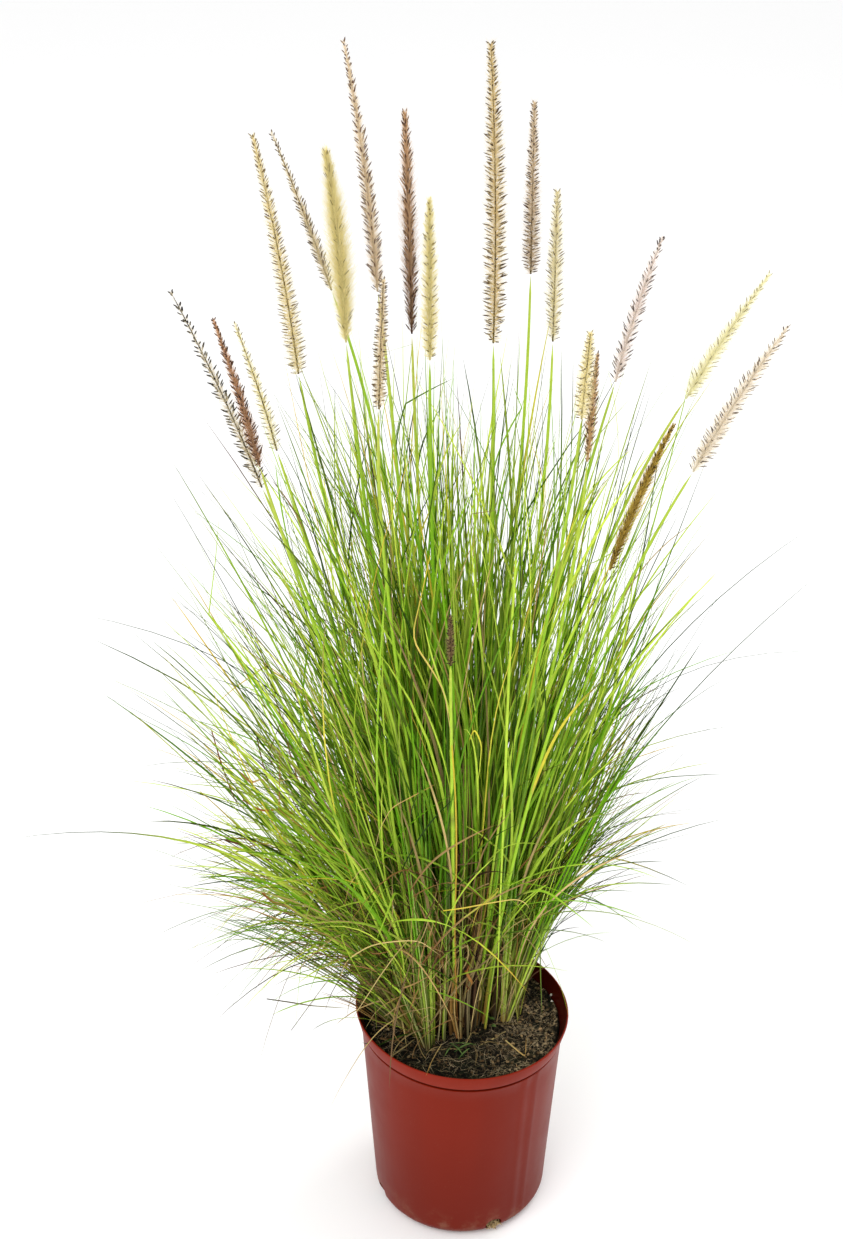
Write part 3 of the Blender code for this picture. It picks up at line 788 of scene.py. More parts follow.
class GRASS_OT_blades(bpy.types.Operator):
    """Grows the shoots and blades of every tuft, as one joined mesh for each tuft"""

    bl_idname = "fountain_grass.blades"
    bl_label = "Blades"

    def execute(self, context):
        settings = context.scene.fountain_grass.blade
        chance = np.random.default_rng(7)
        material = grass("leaf_green", 0.55, 0.42, 0.35)
        tufts = []
        for index in range(LEAF_TUFTS):
            crown = crown_of(f"leaf_tuft_{index + 1:02d}")
            to_left = np.clip((CLUMP_CENTRE[0] - crown[0]) / (30 * MM), 0, 1)
            count = settings.shoots + round(8 * to_left)
            crown += np.array((-4, -9, 0)) * MM * to_left * (crown[1] < CLUMP_CENTRE[1])
            shoots = Shoots(chance, crown, (10 + 3 * to_left) * MM, count, (55, 150), settings.dry_share)
            blades = Blades(chance, shoots, settings.blades, settings.old_blades, settings.width)
            tufts.append((shoots, blades))
        self.lengthen([blades for _, blades in tufts])
        for index, (shoots, blades) in enumerate(tufts):
            strands = Strands()
            shoots.add_sheaths(strands, chance)
            blades.add(strands, chance, slice(None))
            thing = strands.join(f"blades_{index + 1:02d}", material, 2)
            hand_over(thing, "leaf_green", f"leaf_tuft_{index + 1:02d}")
        return {"FINISHED"}

    def lengthen(self, tufts):
        """Gives the tip of each long blade to the blade that points there best."""
        for degrees, reach, height in LONG_BLADES:
            tip = CLUMP_CENTRE + outward(np.array(math.radians(degrees))) * reach * MM + UP * height * MM
            max(tufts, key=lambda blades: blades.fit(tip).max()).reach_for(tip)


# Bunches of shoots along the clump's front edge: how many, width in mm, how far apart they stand at the foot
# in mm and how much farther at the top, colours of foot, stalk and blade, and corners of their line in mm
OLIVE = paint(132, 118, 48)
OLIVE_GREEN = paint(128, 150, 44)
PALE_STRAW = paint(214, 204, 146)
BUNCHES = (
    (11, 1.3, 3.7, 3.0, UMBER, OLIVE_GREEN, LEAF_GREEN, ((-48, -6, 164), (-63, -8, 183), (-78, -10, 201),
        (-92, -12, 219), (-140, -20, 262), (-185, -26, 285))),
    (11, 1.4, 3.9, 3.0, UMBER, OLIVE_GREEN, LIME, ((-46, -5, 164), (-59, -5, 190), (-71, -5, 212),
        (-84, -5, 239), (-125, -4, 310), (-170, 0, 370))),
    (8, 1.1, 3.2, 2.5, UMBER, TAN_SHEATH, STRAW, ((-55, -8, 166), (-67, -10, 180), (-77, -12, 192),
        (-98, -18, 208))),
    (8, 1.1, 1.5, 2.5, RUST, LEAF_GREEN, LIME, ((-28, -31, 163), (-33, -31, 180), (-38, -31, 194),
        (-43, -31, 209), (-48, -31, 227), (-72, -30, 320), (-95, -28, 400))),
    (11, 1.2, 2.1, 4.0, UMBER, OLIVE_GREEN, LEAF_GREEN, ((-25, -32, 163), (-26, -33, 194), (-28, -33, 219),
        (-32, -33, 253), (-42, -30, 360), (-60, -30, 470))),
    (7, 1.2, 1.5, 3.0, UMBER, LIME, LEAF_GREEN, ((-22, -29, 163), (-22, -30, 197), (-23, -30, 227),
        (-24, -30, 261), (-28, -30, 380), (-30, -34, 500))),
    (1, 1.4, 0.0, 0.0, RUST, STRAW, STRAW, ((-18, -23, 163), (-16, -24, 191), (-16, -24, 216),
        (-18, -24, 280))),
    (8, 1.4, 1.7, 2.0, OLIVE_GREEN, LIME, LEAF_GREEN, ((-14, -22, 163), (-13, -23, 205), (-12, -23, 240),
        (-12, -23, 274), (-13, -24, 400), (-16, -30, 540))),
    (4, 1.1, 0.9, 1.0, RUST, TAN_SHEATH, STRAW, ((-2, -20, 163), (-7, -22, 192), (-7, -23, 209),
        (-5, -23, 224), (-3, -22, 250))),
    (4, 1.3, 0.9, 1.0, RUST, STRAW, LIME, ((0, -20, 163), (-1, -21, 199), (-1, -22, 234), (0, -22, 273),
        (2, -22, 380), (4, -26, 480))),
    (7, 1.4, 1.4, 2.0, DARK_UMBER, UMBER, TAN_SHEATH, ((4, -19, 163), (4, -20, 204), (6, -20, 239),
        (10, -20, 273), (14, -18, 340))),
    (7, 1.4, 1.6, 2.0, DARK_UMBER, UMBER, UMBER, ((7, -14, 163), (7, -15, 200), (9, -15, 230),
        (12, -15, 300))),
    (7, 1.4, 1.6, 2.0, DARK_UMBER, UMBER, TAN_SHEATH, ((11, -8, 163), (13, -9, 194), (15, -9, 229),
        (19, -9, 264), (24, -8, 330))),
    (1, 2.4, 0.0, 0.0, RUST, STRAW, YELLOW, ((1, -18, 186), (2, -21, 213), (4, -23, 237), (10, -24, 262),
        (14, -24, 281), (22, -24, 340))),
    (1, 1.9, 0.0, 0.0, UMBER, STRAW, TAN_SHEATH, ((5, -22, 221), (12, -24, 246), (17, -26, 269),
        (22, -27, 281), (30, -28, 300))),
    (4, 1.4, 0.8, 1.5, TAN_SHEATH, LIME, LEAF_GREEN, ((18, -9, 163), (20, -10, 192), (23, -10, 221),
        (25, -10, 245), (27, -10, 269), (32, -12, 380), (38, -16, 500))),
    (7, 1.4, 1.8, 1.5, DARK_UMBER, UMBER, UMBER, ((24, 3, 163), (26, 3, 193), (28, 3, 221), (30, 3, 280))),
    (11, 1.3, 1.8, 3.0, TAN_SHEATH, LIME, LEAF_GREEN, ((32, 1, 163), (32, 1, 196), (32, 0, 226),
        (34, 0, 255), (38, 0, 380), (44, -4, 520))),
    (8, 1.3, 1.6, 3.0, TAN_SHEATH, LIME, LEAF_GREEN, ((36, 2, 163), (42, 1, 186), (48, 0, 211),
        (56, 0, 236), (63, 0, 258), (92, 0, 350), (120, 0, 430))),
    (4, 1.0, 1.1, 2.0, RUST, STRAW, LIME, ((34, 3, 163), (37, 3, 186), (43, 2, 207), (52, 2, 240),
        (64, 0, 300), (80, 0, 370))),
)


class GRASS_OT_front(bpy.types.Operator):
    """Makes the bunches of shoots that stand in the open along the front edge of the clump"""

    bl_idname = "fountain_grass.front"
    bl_label = "Front shoots"

    def execute(self, context):
        chance = np.random.default_rng(17)
        strands = Strands()
        t = np.linspace(0, 1, 24) ** 1.3
        for count, width, apart, fan, foot, stalk, blade, corners in BUNCHES:
            line = traced(corners, t)
            way = outward(chance.uniform(0, math.tau, count))
            way = way * np.sqrt(chance.uniform(0.2, 1, count))[:, None]
            lines = line + way[:, None] * (apart * MM * (1 + fan * t[:, None] ** 0.8))
            lines = wander(chance, lines, t, 0.5 * MM * math.sqrt(count))
            rise = lines[..., 2] - SOIL_TOP
            colours = blend(foot, stalk, (rise - chance.uniform(-5, 4, (count, 1)) * MM) / (14 * MM))
            colours = blend(colours, blade, (rise - chance.uniform(25, 70, (count, 1)) * MM) / (60 * MM))
            colours = blend(colours, PALE_STRAW, chance.random((count, 1)) ** 3 * (1 - t))
            colours = colours * (0.3 + 0.9 * chance.beta(0.6, 0.6, (count, 1, 1)))
            girth = width / 2 * MM * chance.uniform(0.75, 1.15, (count, 1))
            girth = girth * np.interp(t, (0, 0.05, 0.4, 0.8, 1), (1.1, 1, 0.85, 0.6, 0.1))
            reference = np.broadcast_to(np.array((1.0, 0.3, 0.0)), (count, 3))
            twist = chance.normal(size=(count, 1)) * 0.6
            depths = girth * np.interp(t, (0, 0.3, 0.6), (0.8, 0.5, 0.2))
            strands.add(lines, reference, round_section(7), girth, colours, twist, depths)
        self.add_crossing(strands, chance)
        hand_over(strands.join("front_shoots", grass("leaf_green_front", 0.75, 0.42, 0.5), 2), "leaf_green")
        return {"FINISHED"}

    def add_crossing(self, strands, chance):
        """Short blades that leave the front shoots low down and arch across them."""
        n = CROSSING
        across, rise = chance.uniform(-58, 36, n) * MM, chance.uniform(12, 170, n) * MM
        start = np.stack((across * (1 + rise / (150 * MM)), np.interp(across, *FRONT_EDGE) - rise * 0.12,
                          SOIL_TOP + rise), -1)
        start[:, 1] += chance.uniform(-4, 8, n) * MM
        way = unit(chance.normal(size=(n, 3)) * (0.7, 0.25, 0.5) + (-0.1, -0.15, 0.55))
        way[:, 0] += across / (75 * MM)
        tips = start + unit(way) * chance.uniform(50, 150, (n, 1)) * MM
        age = np.where(chance.random(n) < 0.2, DRY, FRESH)
        width = chance.uniform(0.9, 1.8, n) * MM
        add_blades(strands, chance, start, unit(way + UP * 0.8), tips, width, age, 0.06, 0.6)


# Single blades that stand out round the clump: width in mm, colour, the share of the length from which it is
# a dark hair, its foot's x and y on the soil in mm, and the points that it passes through and ends at: column
# and row in the photograph, and y in mm
OUTER_BLADES = (
    (1.5, LEAF_GREEN, 0.8, (-30, 20), (312, 612, 20), (150, 447, 20)),
    (1.1, DEEP_GREEN, 0.3, (-24, 34), (275, 612, 50), (183, 533, 80)),
    (2.2, LIME, 0.6, (-36, 8), (220, 582, -15), (160, 483, -20)),
    (1.5, LEAF_GREEN, 0.8, (-34, 14), (290, 685, -5), (178, 562, -10)),
    (2.0, LEAF_GREEN, 0.5, (-40, 6), (165, 636, -35), (72, 610, -40)),
    (1.4, LEAF_GREEN, 0.6, (-38, 26), (255, 655, 40), (141, 586, 70)),
    (1.9, OLIVE_GREEN, 0.8, (-44, 4), (300, 810, -25), (150, 696, -40)),
    (1.3, LEAF_GREEN, 0.5, (-42, 22), (225, 778, 35), (139, 732, 60)),
    (1.5, LEAF_GREEN, 0.6, (-46, 8), (262, 800, 0), (141, 743, 0)),
    (2.0, YELLOW, 0.8, (-40, 16), (215, 735, 10), (178, 700, 10)),
    (1.3, LEAF_GREEN, 0.8, (-38, 30), (305, 775, 60), (192, 695, 90)),
    (1.2, DEEP_GREEN, 0.3, (-40, 10), (310, 780, -20), (178, 640, -30)),
    (1.2, DEEP_GREEN, 0.6, (-26, 30), (300, 550, 60), (215, 440, 90)),
    (1.2, LEAF_GREEN, 0.4, (-32, 16), (305, 680, 20), (240, 550, 25)),
    (1.5, LEAF_GREEN, 0.6, (-36, 12), (245, 670, 0), (206, 635, -10)),
    (2.4, LIME, 0.7, (-49, -4), (170, 841, -35), (1, 841, -40)),
    (1.3, LEAF_GREEN, 0.6, (-47, 2), (215, 834, -25), (187, 810, -30)),
    (1.6, LEAF_GREEN, 0.9, (-46, 10), (330, 890, 10), (208, 829, 0)),
    (1.8, OLIVE_GREEN, 0.6, (-50, 0), (262, 912, -25), (152, 879, -40)),
    (2.2, RUST, 0.9, (-48, 12), (310, 920, 20), (182, 892, 20)),
    (1.0, DEEP_GREEN, 0.3, (-48, 20), (230, 888, 40), (168, 858, 60)),
    (1.2, DEEP_GREEN, 0.2, (-52, 4), (235, 930, -10), (145, 913, -20)),
    (1.2, DEEP_GREEN, 0.2, (-52, -2), (290, 953, -35), (153, 918, -50)),
    (1.4, LEAF_GREEN, 0.6, (-46, 6), (225, 880, 0), (168, 844, 0)),
    (1.1, DEEP_GREEN, 0.5, (-50, 0), (285, 945, -40), (242, 941, -55)),
    (1.2, LEAF_GREEN, 0.7, (-52, 8), (310, 948, 30), (232, 918, 40)),
    (2.0, LEAF_GREEN, 0.9, (26, 20), (645, 510, 20), (716, 372, 30)),
    (1.4, LEAF_GREEN, 0.5, (30, 10), (630, 552, -20), (728, 474, -30)),
    (1.9, LEAF_GREEN, 0.8, (32, 14), (640, 635, 0), (713, 436, 0)),
    (2.0, LEAF_GREEN, 0.6, (38, 16), (690, 625, 0), (816, 524, -20)),
    (1.9, LEAF_GREEN, 0.6, (40, 6), (620, 780, -30), (832, 566, -50)),
    (1.2, DEEP_GREEN, 0.3, (40, 24), (770, 650, 12.5), (842, 655, 5)),
    (1.1, DEEP_GREEN, 0.3, (36, 22), (680, 655, 40), (740, 560, 70)),
    (1.0, DEEP_GREEN, 0.3, (32, 30), (645, 630, 60), (700, 540, 90)),
    (2.3, LIME, 0.8, (30, 8), (622, 640, -20), (662, 520, -30)),
    (1.2, DEEP_GREEN, 0.4, (34, 26), (615, 672, 50), (679, 601, 70)),
    (1.1, DEEP_GREEN, 0.3, (40, 20), (640, 760, 20), (735, 682, 30)),
    (1.1, DEEP_GREEN, 0.4, (42, 10), (680, 757, -20), (742, 697, -30)),
    (1.8, DEEP_GREEN, 0.9, (40, 16), (615, 772, 10), (675, 719, 10)),
    (1.3, LEAF_GREEN, 0.5, (44, 6), (600, 860, -10), (722, 819, -20)),
    (1.4, LEAF_GREEN, 0.6, (44, 0), (565, 888, -25), (708, 831, -35)),
    (1.4, DEEP_GREEN, 0.8, (45, 4), (600, 870, -5), (688, 840, -10)),
    (2.2, STRAW, 0.9, (44, 2), (580, 877, -15), (658, 844, -20)),
    (1.0, DEEP_GREEN, 0.4, (44, 20), (640, 820, 30), (724, 806, 40)),
    (1.2, DEEP_GREEN, 0.4, (46, 8), (568, 915, 5), (664, 849, 5)),
    (1.4, DEEP_GREEN, 0.7, (42, 24), (575, 875, 30), (647, 786, 35)),
    (1.0, DEEP_GREEN, 0.4, (42, 14), (612, 832, 10), (665, 789, 10)),
    (1.5, LEAF_GREEN, 0.8, (34, 16), (627, 480, 2.5), (650, 405, 0)),
    (1.7, LEAF_GREEN, 0.8, (36, 12), (650, 668, 0), (700, 590, -5)),
    (1.4, LEAF_GREEN, 0.6, (38, 20), (618, 735, 25), (690, 630, 30)),
    (1.6, LEAF_GREEN, 0.7, (40, 8), (636, 742, -15), (684, 662, -20)),
    (1.9, LEAF_GREEN, 0.8, (-4, -2), (385, 478, -10), (315, 359, -15)),
    (1.7, LEAF_GREEN, 0.9, (12, 0), (470, 421, -10), (430, 355, -20)),
    (1.9, LEAF_GREEN, 0.8, (14, 6), (460, 535, -5), (520, 372, -10)),
    (1.8, LEAF_GREEN, 0.8, (22, 10), (530, 508, 0), (572, 393, 0)),
    (1.4, DEEP_GREEN, 0.4, (-12, 10), (360, 545, 0), (270, 392, 0)),
    (1.6, LEAF_GREEN, 0.8, (-14, 4), (392, 515, -10), (330, 390, -20)),
    (1.8, LEAF_GREEN, 0.8, (6, 6), (436, 490, 0), (461, 370, 0)),
    (1.7, LIME, 0.9, (2, 4), (408, 505, 0), (402, 418, 0)),
    (1.2, DEEP_GREEN, 0.4, (16, 8), (450, 520, 0), (473, 340, 10)),
    (1.8, LIME, 0.9, (18, 14), (493, 420, 25), (490, 352, 30)),
    (1.6, LEAF_GREEN, 0.8, (24, 18), (541, 520, 20), (537, 330, 20)),
    (1.8, LEAF_GREEN, 0.8, (26, 6), (557, 525, -10), (583, 440, -15)),
)


class GRASS_OT_outer(bpy.types.Operator):
    """Makes the single blades that arch out past the rest of the clump"""

    bl_idname = "fountain_grass.outer"
    bl_label = "Outer blades"

    def execute(self, context):
        chance = np.random.default_rng(31)
        t = np.linspace(0, 1, 18)
        strands = Strands()
        for width, tone, hair, foot, *pixels in OUTER_BLADES:
            foot = np.append(np.array(foot, float) * MM, SOIL_TOP)
            middle, tip = (placed(pixel, 1, BLADE_STEP) * MM for pixel in pixels)
            line = wander(chance, self.through(foot, middle, tip, t)[None], t, 0.8 * MM)
            side = unit(np.cross(tip - foot, UP))[None]
            thin = np.clip((t - hair + 0.1) / 0.2, 0, 1)
            widths = width * MM * np.interp(t, *BLADE_PROFILE) * (1 - thin * 0.55)
            # Painted light: each outer blade is painted paler and bluer, like the blades far out in the clump.
            tint = blend(PALE_SHEATH, tone * (1 + PAINTED_LIGHT_TINT * 0.7) * chance.uniform(0.75, 1.1), t / 0.2)
            tint = blend(tint, DEEP_GREEN * 0.35, thin)
            twist = chance.normal() * 0.4 + t * chance.normal() * 0.8
            strands.add(line, side, FOLDED_SECTION, widths[None], tint[None], twist[None], widths[None] * 1.3)
        hand_over(strands.join("outer_blades", grass("leaf_green_outer", 0.5, 0.42, 0.35), 2), "leaf_green")
        return {"FINISHED"}

    def through(self, foot, middle, tip, t):
        """The parabola from foot through middle to tip."""
        first, second = (np.linalg.norm(end - middle) for end in (foot, tip))
        share = first / (first + second)
        control = (middle - foot * (1 - share) ** 2 - tip * share**2) / (2 * share * (1 - share))
        t = t[:, None]
        return foot * (1 - t) ** 2 + 2 * control * t * (1 - t) + tip * t**2


class GRASS_OT_withered(bpy.types.Operator):
    """Makes the withered shoots that stand at the front of the clump"""

    bl_idname = "fountain_grass.withered"
    bl_label = "Withered shoots"

    def execute(self, context):
        chance = np.random.default_rng(11)
        crown = crown_of("dead_stalks") + np.array((6, 7, 0)) * MM
        shoots = Shoots(chance, crown, 14 * MM, 20, (60, 170), 1.0)
        shoots.first = unit(shoots.first * (1, 0.4, 1) + chance.normal(size=shoots.first.shape) * 0.03)
        strands = Strands()
        shoots.add_sheaths(strands, chance)
        blades = Blades(chance, shoots, 1, 2, 3.4 * MM)
        blades.add(strands, chance, slice(None))
        self.add_shreds(strands, chance)
        thing = strands.join("withered_shoots", grass("dead_leaf", 0.7, 0.7, 0.6), 2)
        hand_over(thing, "dead_leaf", "dead_stalks")
        return {"FINISHED"}

    def add_shreds(self, strands, chance):
        """Thin dry shreds of old sheaths and blades that hang about the foot of the clump."""
        n = SHREDS
        across, rise = chance.uniform(-52, 30, n) * MM, chance.uniform(3, 120, n) * MM
        start = np.stack((across * (1 + rise / (220 * MM)), np.interp(across, *FRONT_EDGE) - rise * 0.12,
                          SOIL_TOP + rise), -1)
        start[:, 1] += chance.uniform(-4, 9, n) * MM
        way = unit(chance.normal(size=(n, 3)) * (0.6, 0.3, 1.1) + (-0.2, -0.2, 0.1))
        first = unit(way + chance.normal(size=(n, 3)) * 0.5)
        tips = start + way * chance.uniform(12, 60, (n, 1)) * MM
        age = np.where(chance.random(n) < 0.85, DRY, OLD)
        add_blades(strands, chance, start, first, tips, chance.uniform(0.4, 1.1, n) * MM, age, 0.5, 0.7)


# --- flower stems ---

CULM_LEAF_TOP = 745 * MM  # no leaf of a flower stem reaches higher


class GRASS_OT_culms(bpy.types.Operator):
    """Makes the flower stems with their knots and the narrow leaves that they carry"""

    bl_idname = "fountain_grass.culms"
    bl_label = "Flower stems"

    def execute(self, context):
        material = grass("stem_green", 0.4, 0.38, 0.25)
        for index in range(FLOWERS):
            chance = np.random.default_rng(200 + index)
            node = f"flower_stem_{index + 1:02d}"
            middles, _ = rings_of(node, 6)
            t = np.linspace(0, 1, 44)
            line = smooth_line(middles, t)
            line[0] -= UP * 4 * MM
            rise = np.linalg.norm(line - line[0], axis=1)
            knots = rise[-1] * (np.array((0.16, 0.34, 0.55)) + chance.normal(size=3) * 0.02)
            swell = sum(np.exp(-(((rise - knot) / (2.2 * MM)) ** 2)) for knot in knots)
            radius = np.interp(t, (0, 0.4, 0.9, 1), (1.2, 1.25, 1.05, 0.7)) * MM * (1 + 0.25 * swell)
            green = blend(LEAF_GREEN, LIME, chance.uniform(0.1, 0.8))
            colour = blend(blend(TAN_SHEATH, green, (rise - 20 * MM) / (60 * MM)), UMBER, swell * 0.5)
            colour = blend(colour, PALE_SHEATH, (t - 0.7) / 0.3 * chance.uniform(0.3, 1))
            strands = Strands()
            reference = np.array(((1.0, 0.2, 0.0),))
            strands.add(line[None], reference, round_section(8), radius[None], colour[None])
            self.add_leaves(strands, chance, line, t)
            thing = strands.join(f"culm_{index + 1:02d}", material, 1)
            hand_over(thing, "stem_green", node)
        return {"FINISHED"}

    def add_leaves(self, strands, chance, line, t):
        """Leaves that leave the stem at its knots, the last one short and close under the flower head."""
        places = np.array((0.3, 0.46, 0.62, 0.76)) + chance.normal(size=4) * 0.03
        start = np.stack([np.interp(places, t, line[:, i]) for i in range(3)], -1)
        ahead = np.stack([np.interp(places + 0.04, t, line[:, i]) for i in range(3)], -1)
        first = unit(ahead - start)
        away = unit(first + outward(chance.uniform(0, math.tau, 4)) * chance.uniform(0.12, 0.36, (4, 1)))
        tips = start + away * (np.array((300, 250, 170, 110)) * chance.uniform(0.6, 1.05, 4) * MM)[:, None]
        tips[:, 2] = np.minimum(tips[:, 2], CULM_LEAF_TOP)
        age = np.where(chance.random(4) < 0.12, DRY, FRESH)
        add_blades(strands, chance, start, first, tips, np.array((2.3, 2.0, 1.7, 1.4)) * MM, age, 0.05)


# --- flower heads ---


class HeadLook:
    """How one flower head looks: its colours and how its spikelets stand."""

    def __init__(self, slot, husk, tip, bristle, angles, fuzz=1.0, crowd=1.0, stout=1.0, flat=0.0, core=0.0,
                 open_top=0.0, dark_foot=0.0, dark_share=1.0, dark_from=0.34, fluff=1.0, wide=1.0):
        self.slot = slot
        self.husk = paint(*husk)
        self.tip = paint(*tip)
        self.bristle = paint(*bristle)
        self.angles = np.radians(angles)
        self.fuzz = fuzz
        self.crowd = crowd
        self.stout = stout
        self.flat = flat
        self.core = core
        self.open_top = open_top
        self.dark_foot = dark_foot
        self.dark_share = dark_share
        self.dark_from = dark_from
        self.fluff = fluff
        self.wide = wide


# For each head: its material slot, the colours of husks, their tips and the bristles, the angle in degrees of
# its lowest and highest spikelets to the stalk, how long its bristles are, how closely its spikelets stand,
# how thick they are and how much they keep to two sides; how thick the head's middle is, how bare its upper
# end, how dark its foot, how many husks have dark tips and from which share of their length, how many bristles
# it has, and how much wider than its solid it is
HEADS = (
    HeadLook("plume_purple", (222, 210, 180), (22, 18, 24), (224, 212, 180), (56, 38), 0.85, 0.9, 1.45, 0.3,
        open_top=0.95, wide=1.15),
    HeadLook("plume_brown", (226, 184, 140), (56, 22, 16), (214, 170, 128), (36, 26), 0.85, 1.3, 1.1,
        core=0.06, open_top=0.2, dark_foot=0.35, wide=1.1),
    HeadLook("plume_cream", (242, 232, 176), (92, 66, 32), (244, 236, 186), (62, 38), 0.95, 0.8, 0.85, 0.35,
        open_top=0.5, fluff=1.5, wide=1.25),
    HeadLook("plume_tan", (236, 220, 164), (90, 56, 20), (244, 232, 184), (70, 34), 1.0, 1.45, 0.9, 0.4,
        open_top=0.4, fluff=1.1, wide=1.25),
    HeadLook("plume_purple", (222, 206, 166), (72, 46, 32), (230, 216, 176), (46, 36), 0.9, 1.25, 1.0, 0.25,
        open_top=0.85, dark_foot=0.1, fluff=1.1, wide=1.12),
    HeadLook("plume_cream", (228, 218, 154), (110, 92, 44), (232, 220, 160), (42, 22), 1.05, 1.5, 0.75,
        core=0.2, dark_share=0.35, fluff=1.8, wide=1.5),
    HeadLook("plume_tan", (236, 218, 184), (88, 50, 38), (236, 218, 184), (44, 34), 0.95, 1.35, 1.05, 0.25,
        core=0.04, open_top=0.6, dark_foot=0.15, fluff=1.15, wide=1.08),
    HeadLook("plume_tan", (226, 208, 164), (66, 36, 12), (232, 216, 178), (80, 56), 0.9, 1.55, 0.95, 0.4),
    HeadLook("plume_brown", (226, 190, 146), (58, 18, 10), (216, 180, 138), (36, 28), 1.0, 1.4, 1.15,
        core=0.04, dark_foot=0.75, dark_from=0.38, fluff=0.95, wide=1.3),
    HeadLook("plume_cream", (232, 222, 162), (110, 86, 38), (236, 226, 168), (50, 28), 1.05, 1.3, 0.85,
        core=0.12, dark_share=0.5, fluff=1.3, wide=1.05),
    HeadLook("plume_tan", (226, 206, 154), (64, 32, 8), (230, 212, 160), (72, 50), 1.0, 1.45, 1.15, 0.45,
        fluff=0.95, wide=1.02),
    HeadLook("plume_purple", (214, 196, 160), (66, 34, 24), (228, 210, 180), (72, 44), 1.05, 1.7, 1.15,
        0.25, open_top=0.2, dark_foot=0.15, fluff=1.15, wide=1.2),
    HeadLook("plume_cream", (232, 222, 178), (92, 70, 38), (240, 232, 192), (58, 42), 1.05, 1.15, 0.85,
        0.35, fluff=1.3, wide=1.25),
    HeadLook("plume_tan", (242, 232, 178), (98, 72, 34), (246, 236, 186), (70, 38), 1.05, 1.15, 0.85, 0.35,
        fluff=1.3),
    HeadLook("plume_brown", (222, 186, 132), (70, 38, 18), (226, 192, 140), (34, 22), 0.95, 1.3, 1.05,
        core=0.08),
    HeadLook("plume_purple", (238, 226, 208), (52, 32, 36), (242, 230, 222), (44, 34), 1.1, 0.95, 1.15, 0.3,
        core=0.02, open_top=0.6, fluff=1.4, wide=1.1),
    HeadLook("plume_cream", (246, 242, 198), (136, 118, 60), (250, 246, 208), (54, 30), 1.1, 1.1, 0.75,
        0.25, core=0.02, open_top=0.5, fluff=2.0, wide=1.25),
    HeadLook("plume_purple", (240, 230, 206), (84, 60, 50), (246, 236, 216), (56, 40), 1.1, 1.1, 0.95, 0.35,
        core=0.02, open_top=0.5, fluff=1.6, wide=1.2),
    HeadLook("plume_brown", (178, 146, 56), (52, 30, 6), (214, 186, 88), (24, 16), 1.0, 1.4, 0.95, core=0.2,
        dark_foot=0.3, dark_share=0.85, fluff=1.3, wide=1.15),
    HeadLook("plume_brown", (158, 132, 92), (50, 30, 24), (176, 152, 112), (38, 30), 0.95, 1.2, 1.0,
        fluff=1.1),
)


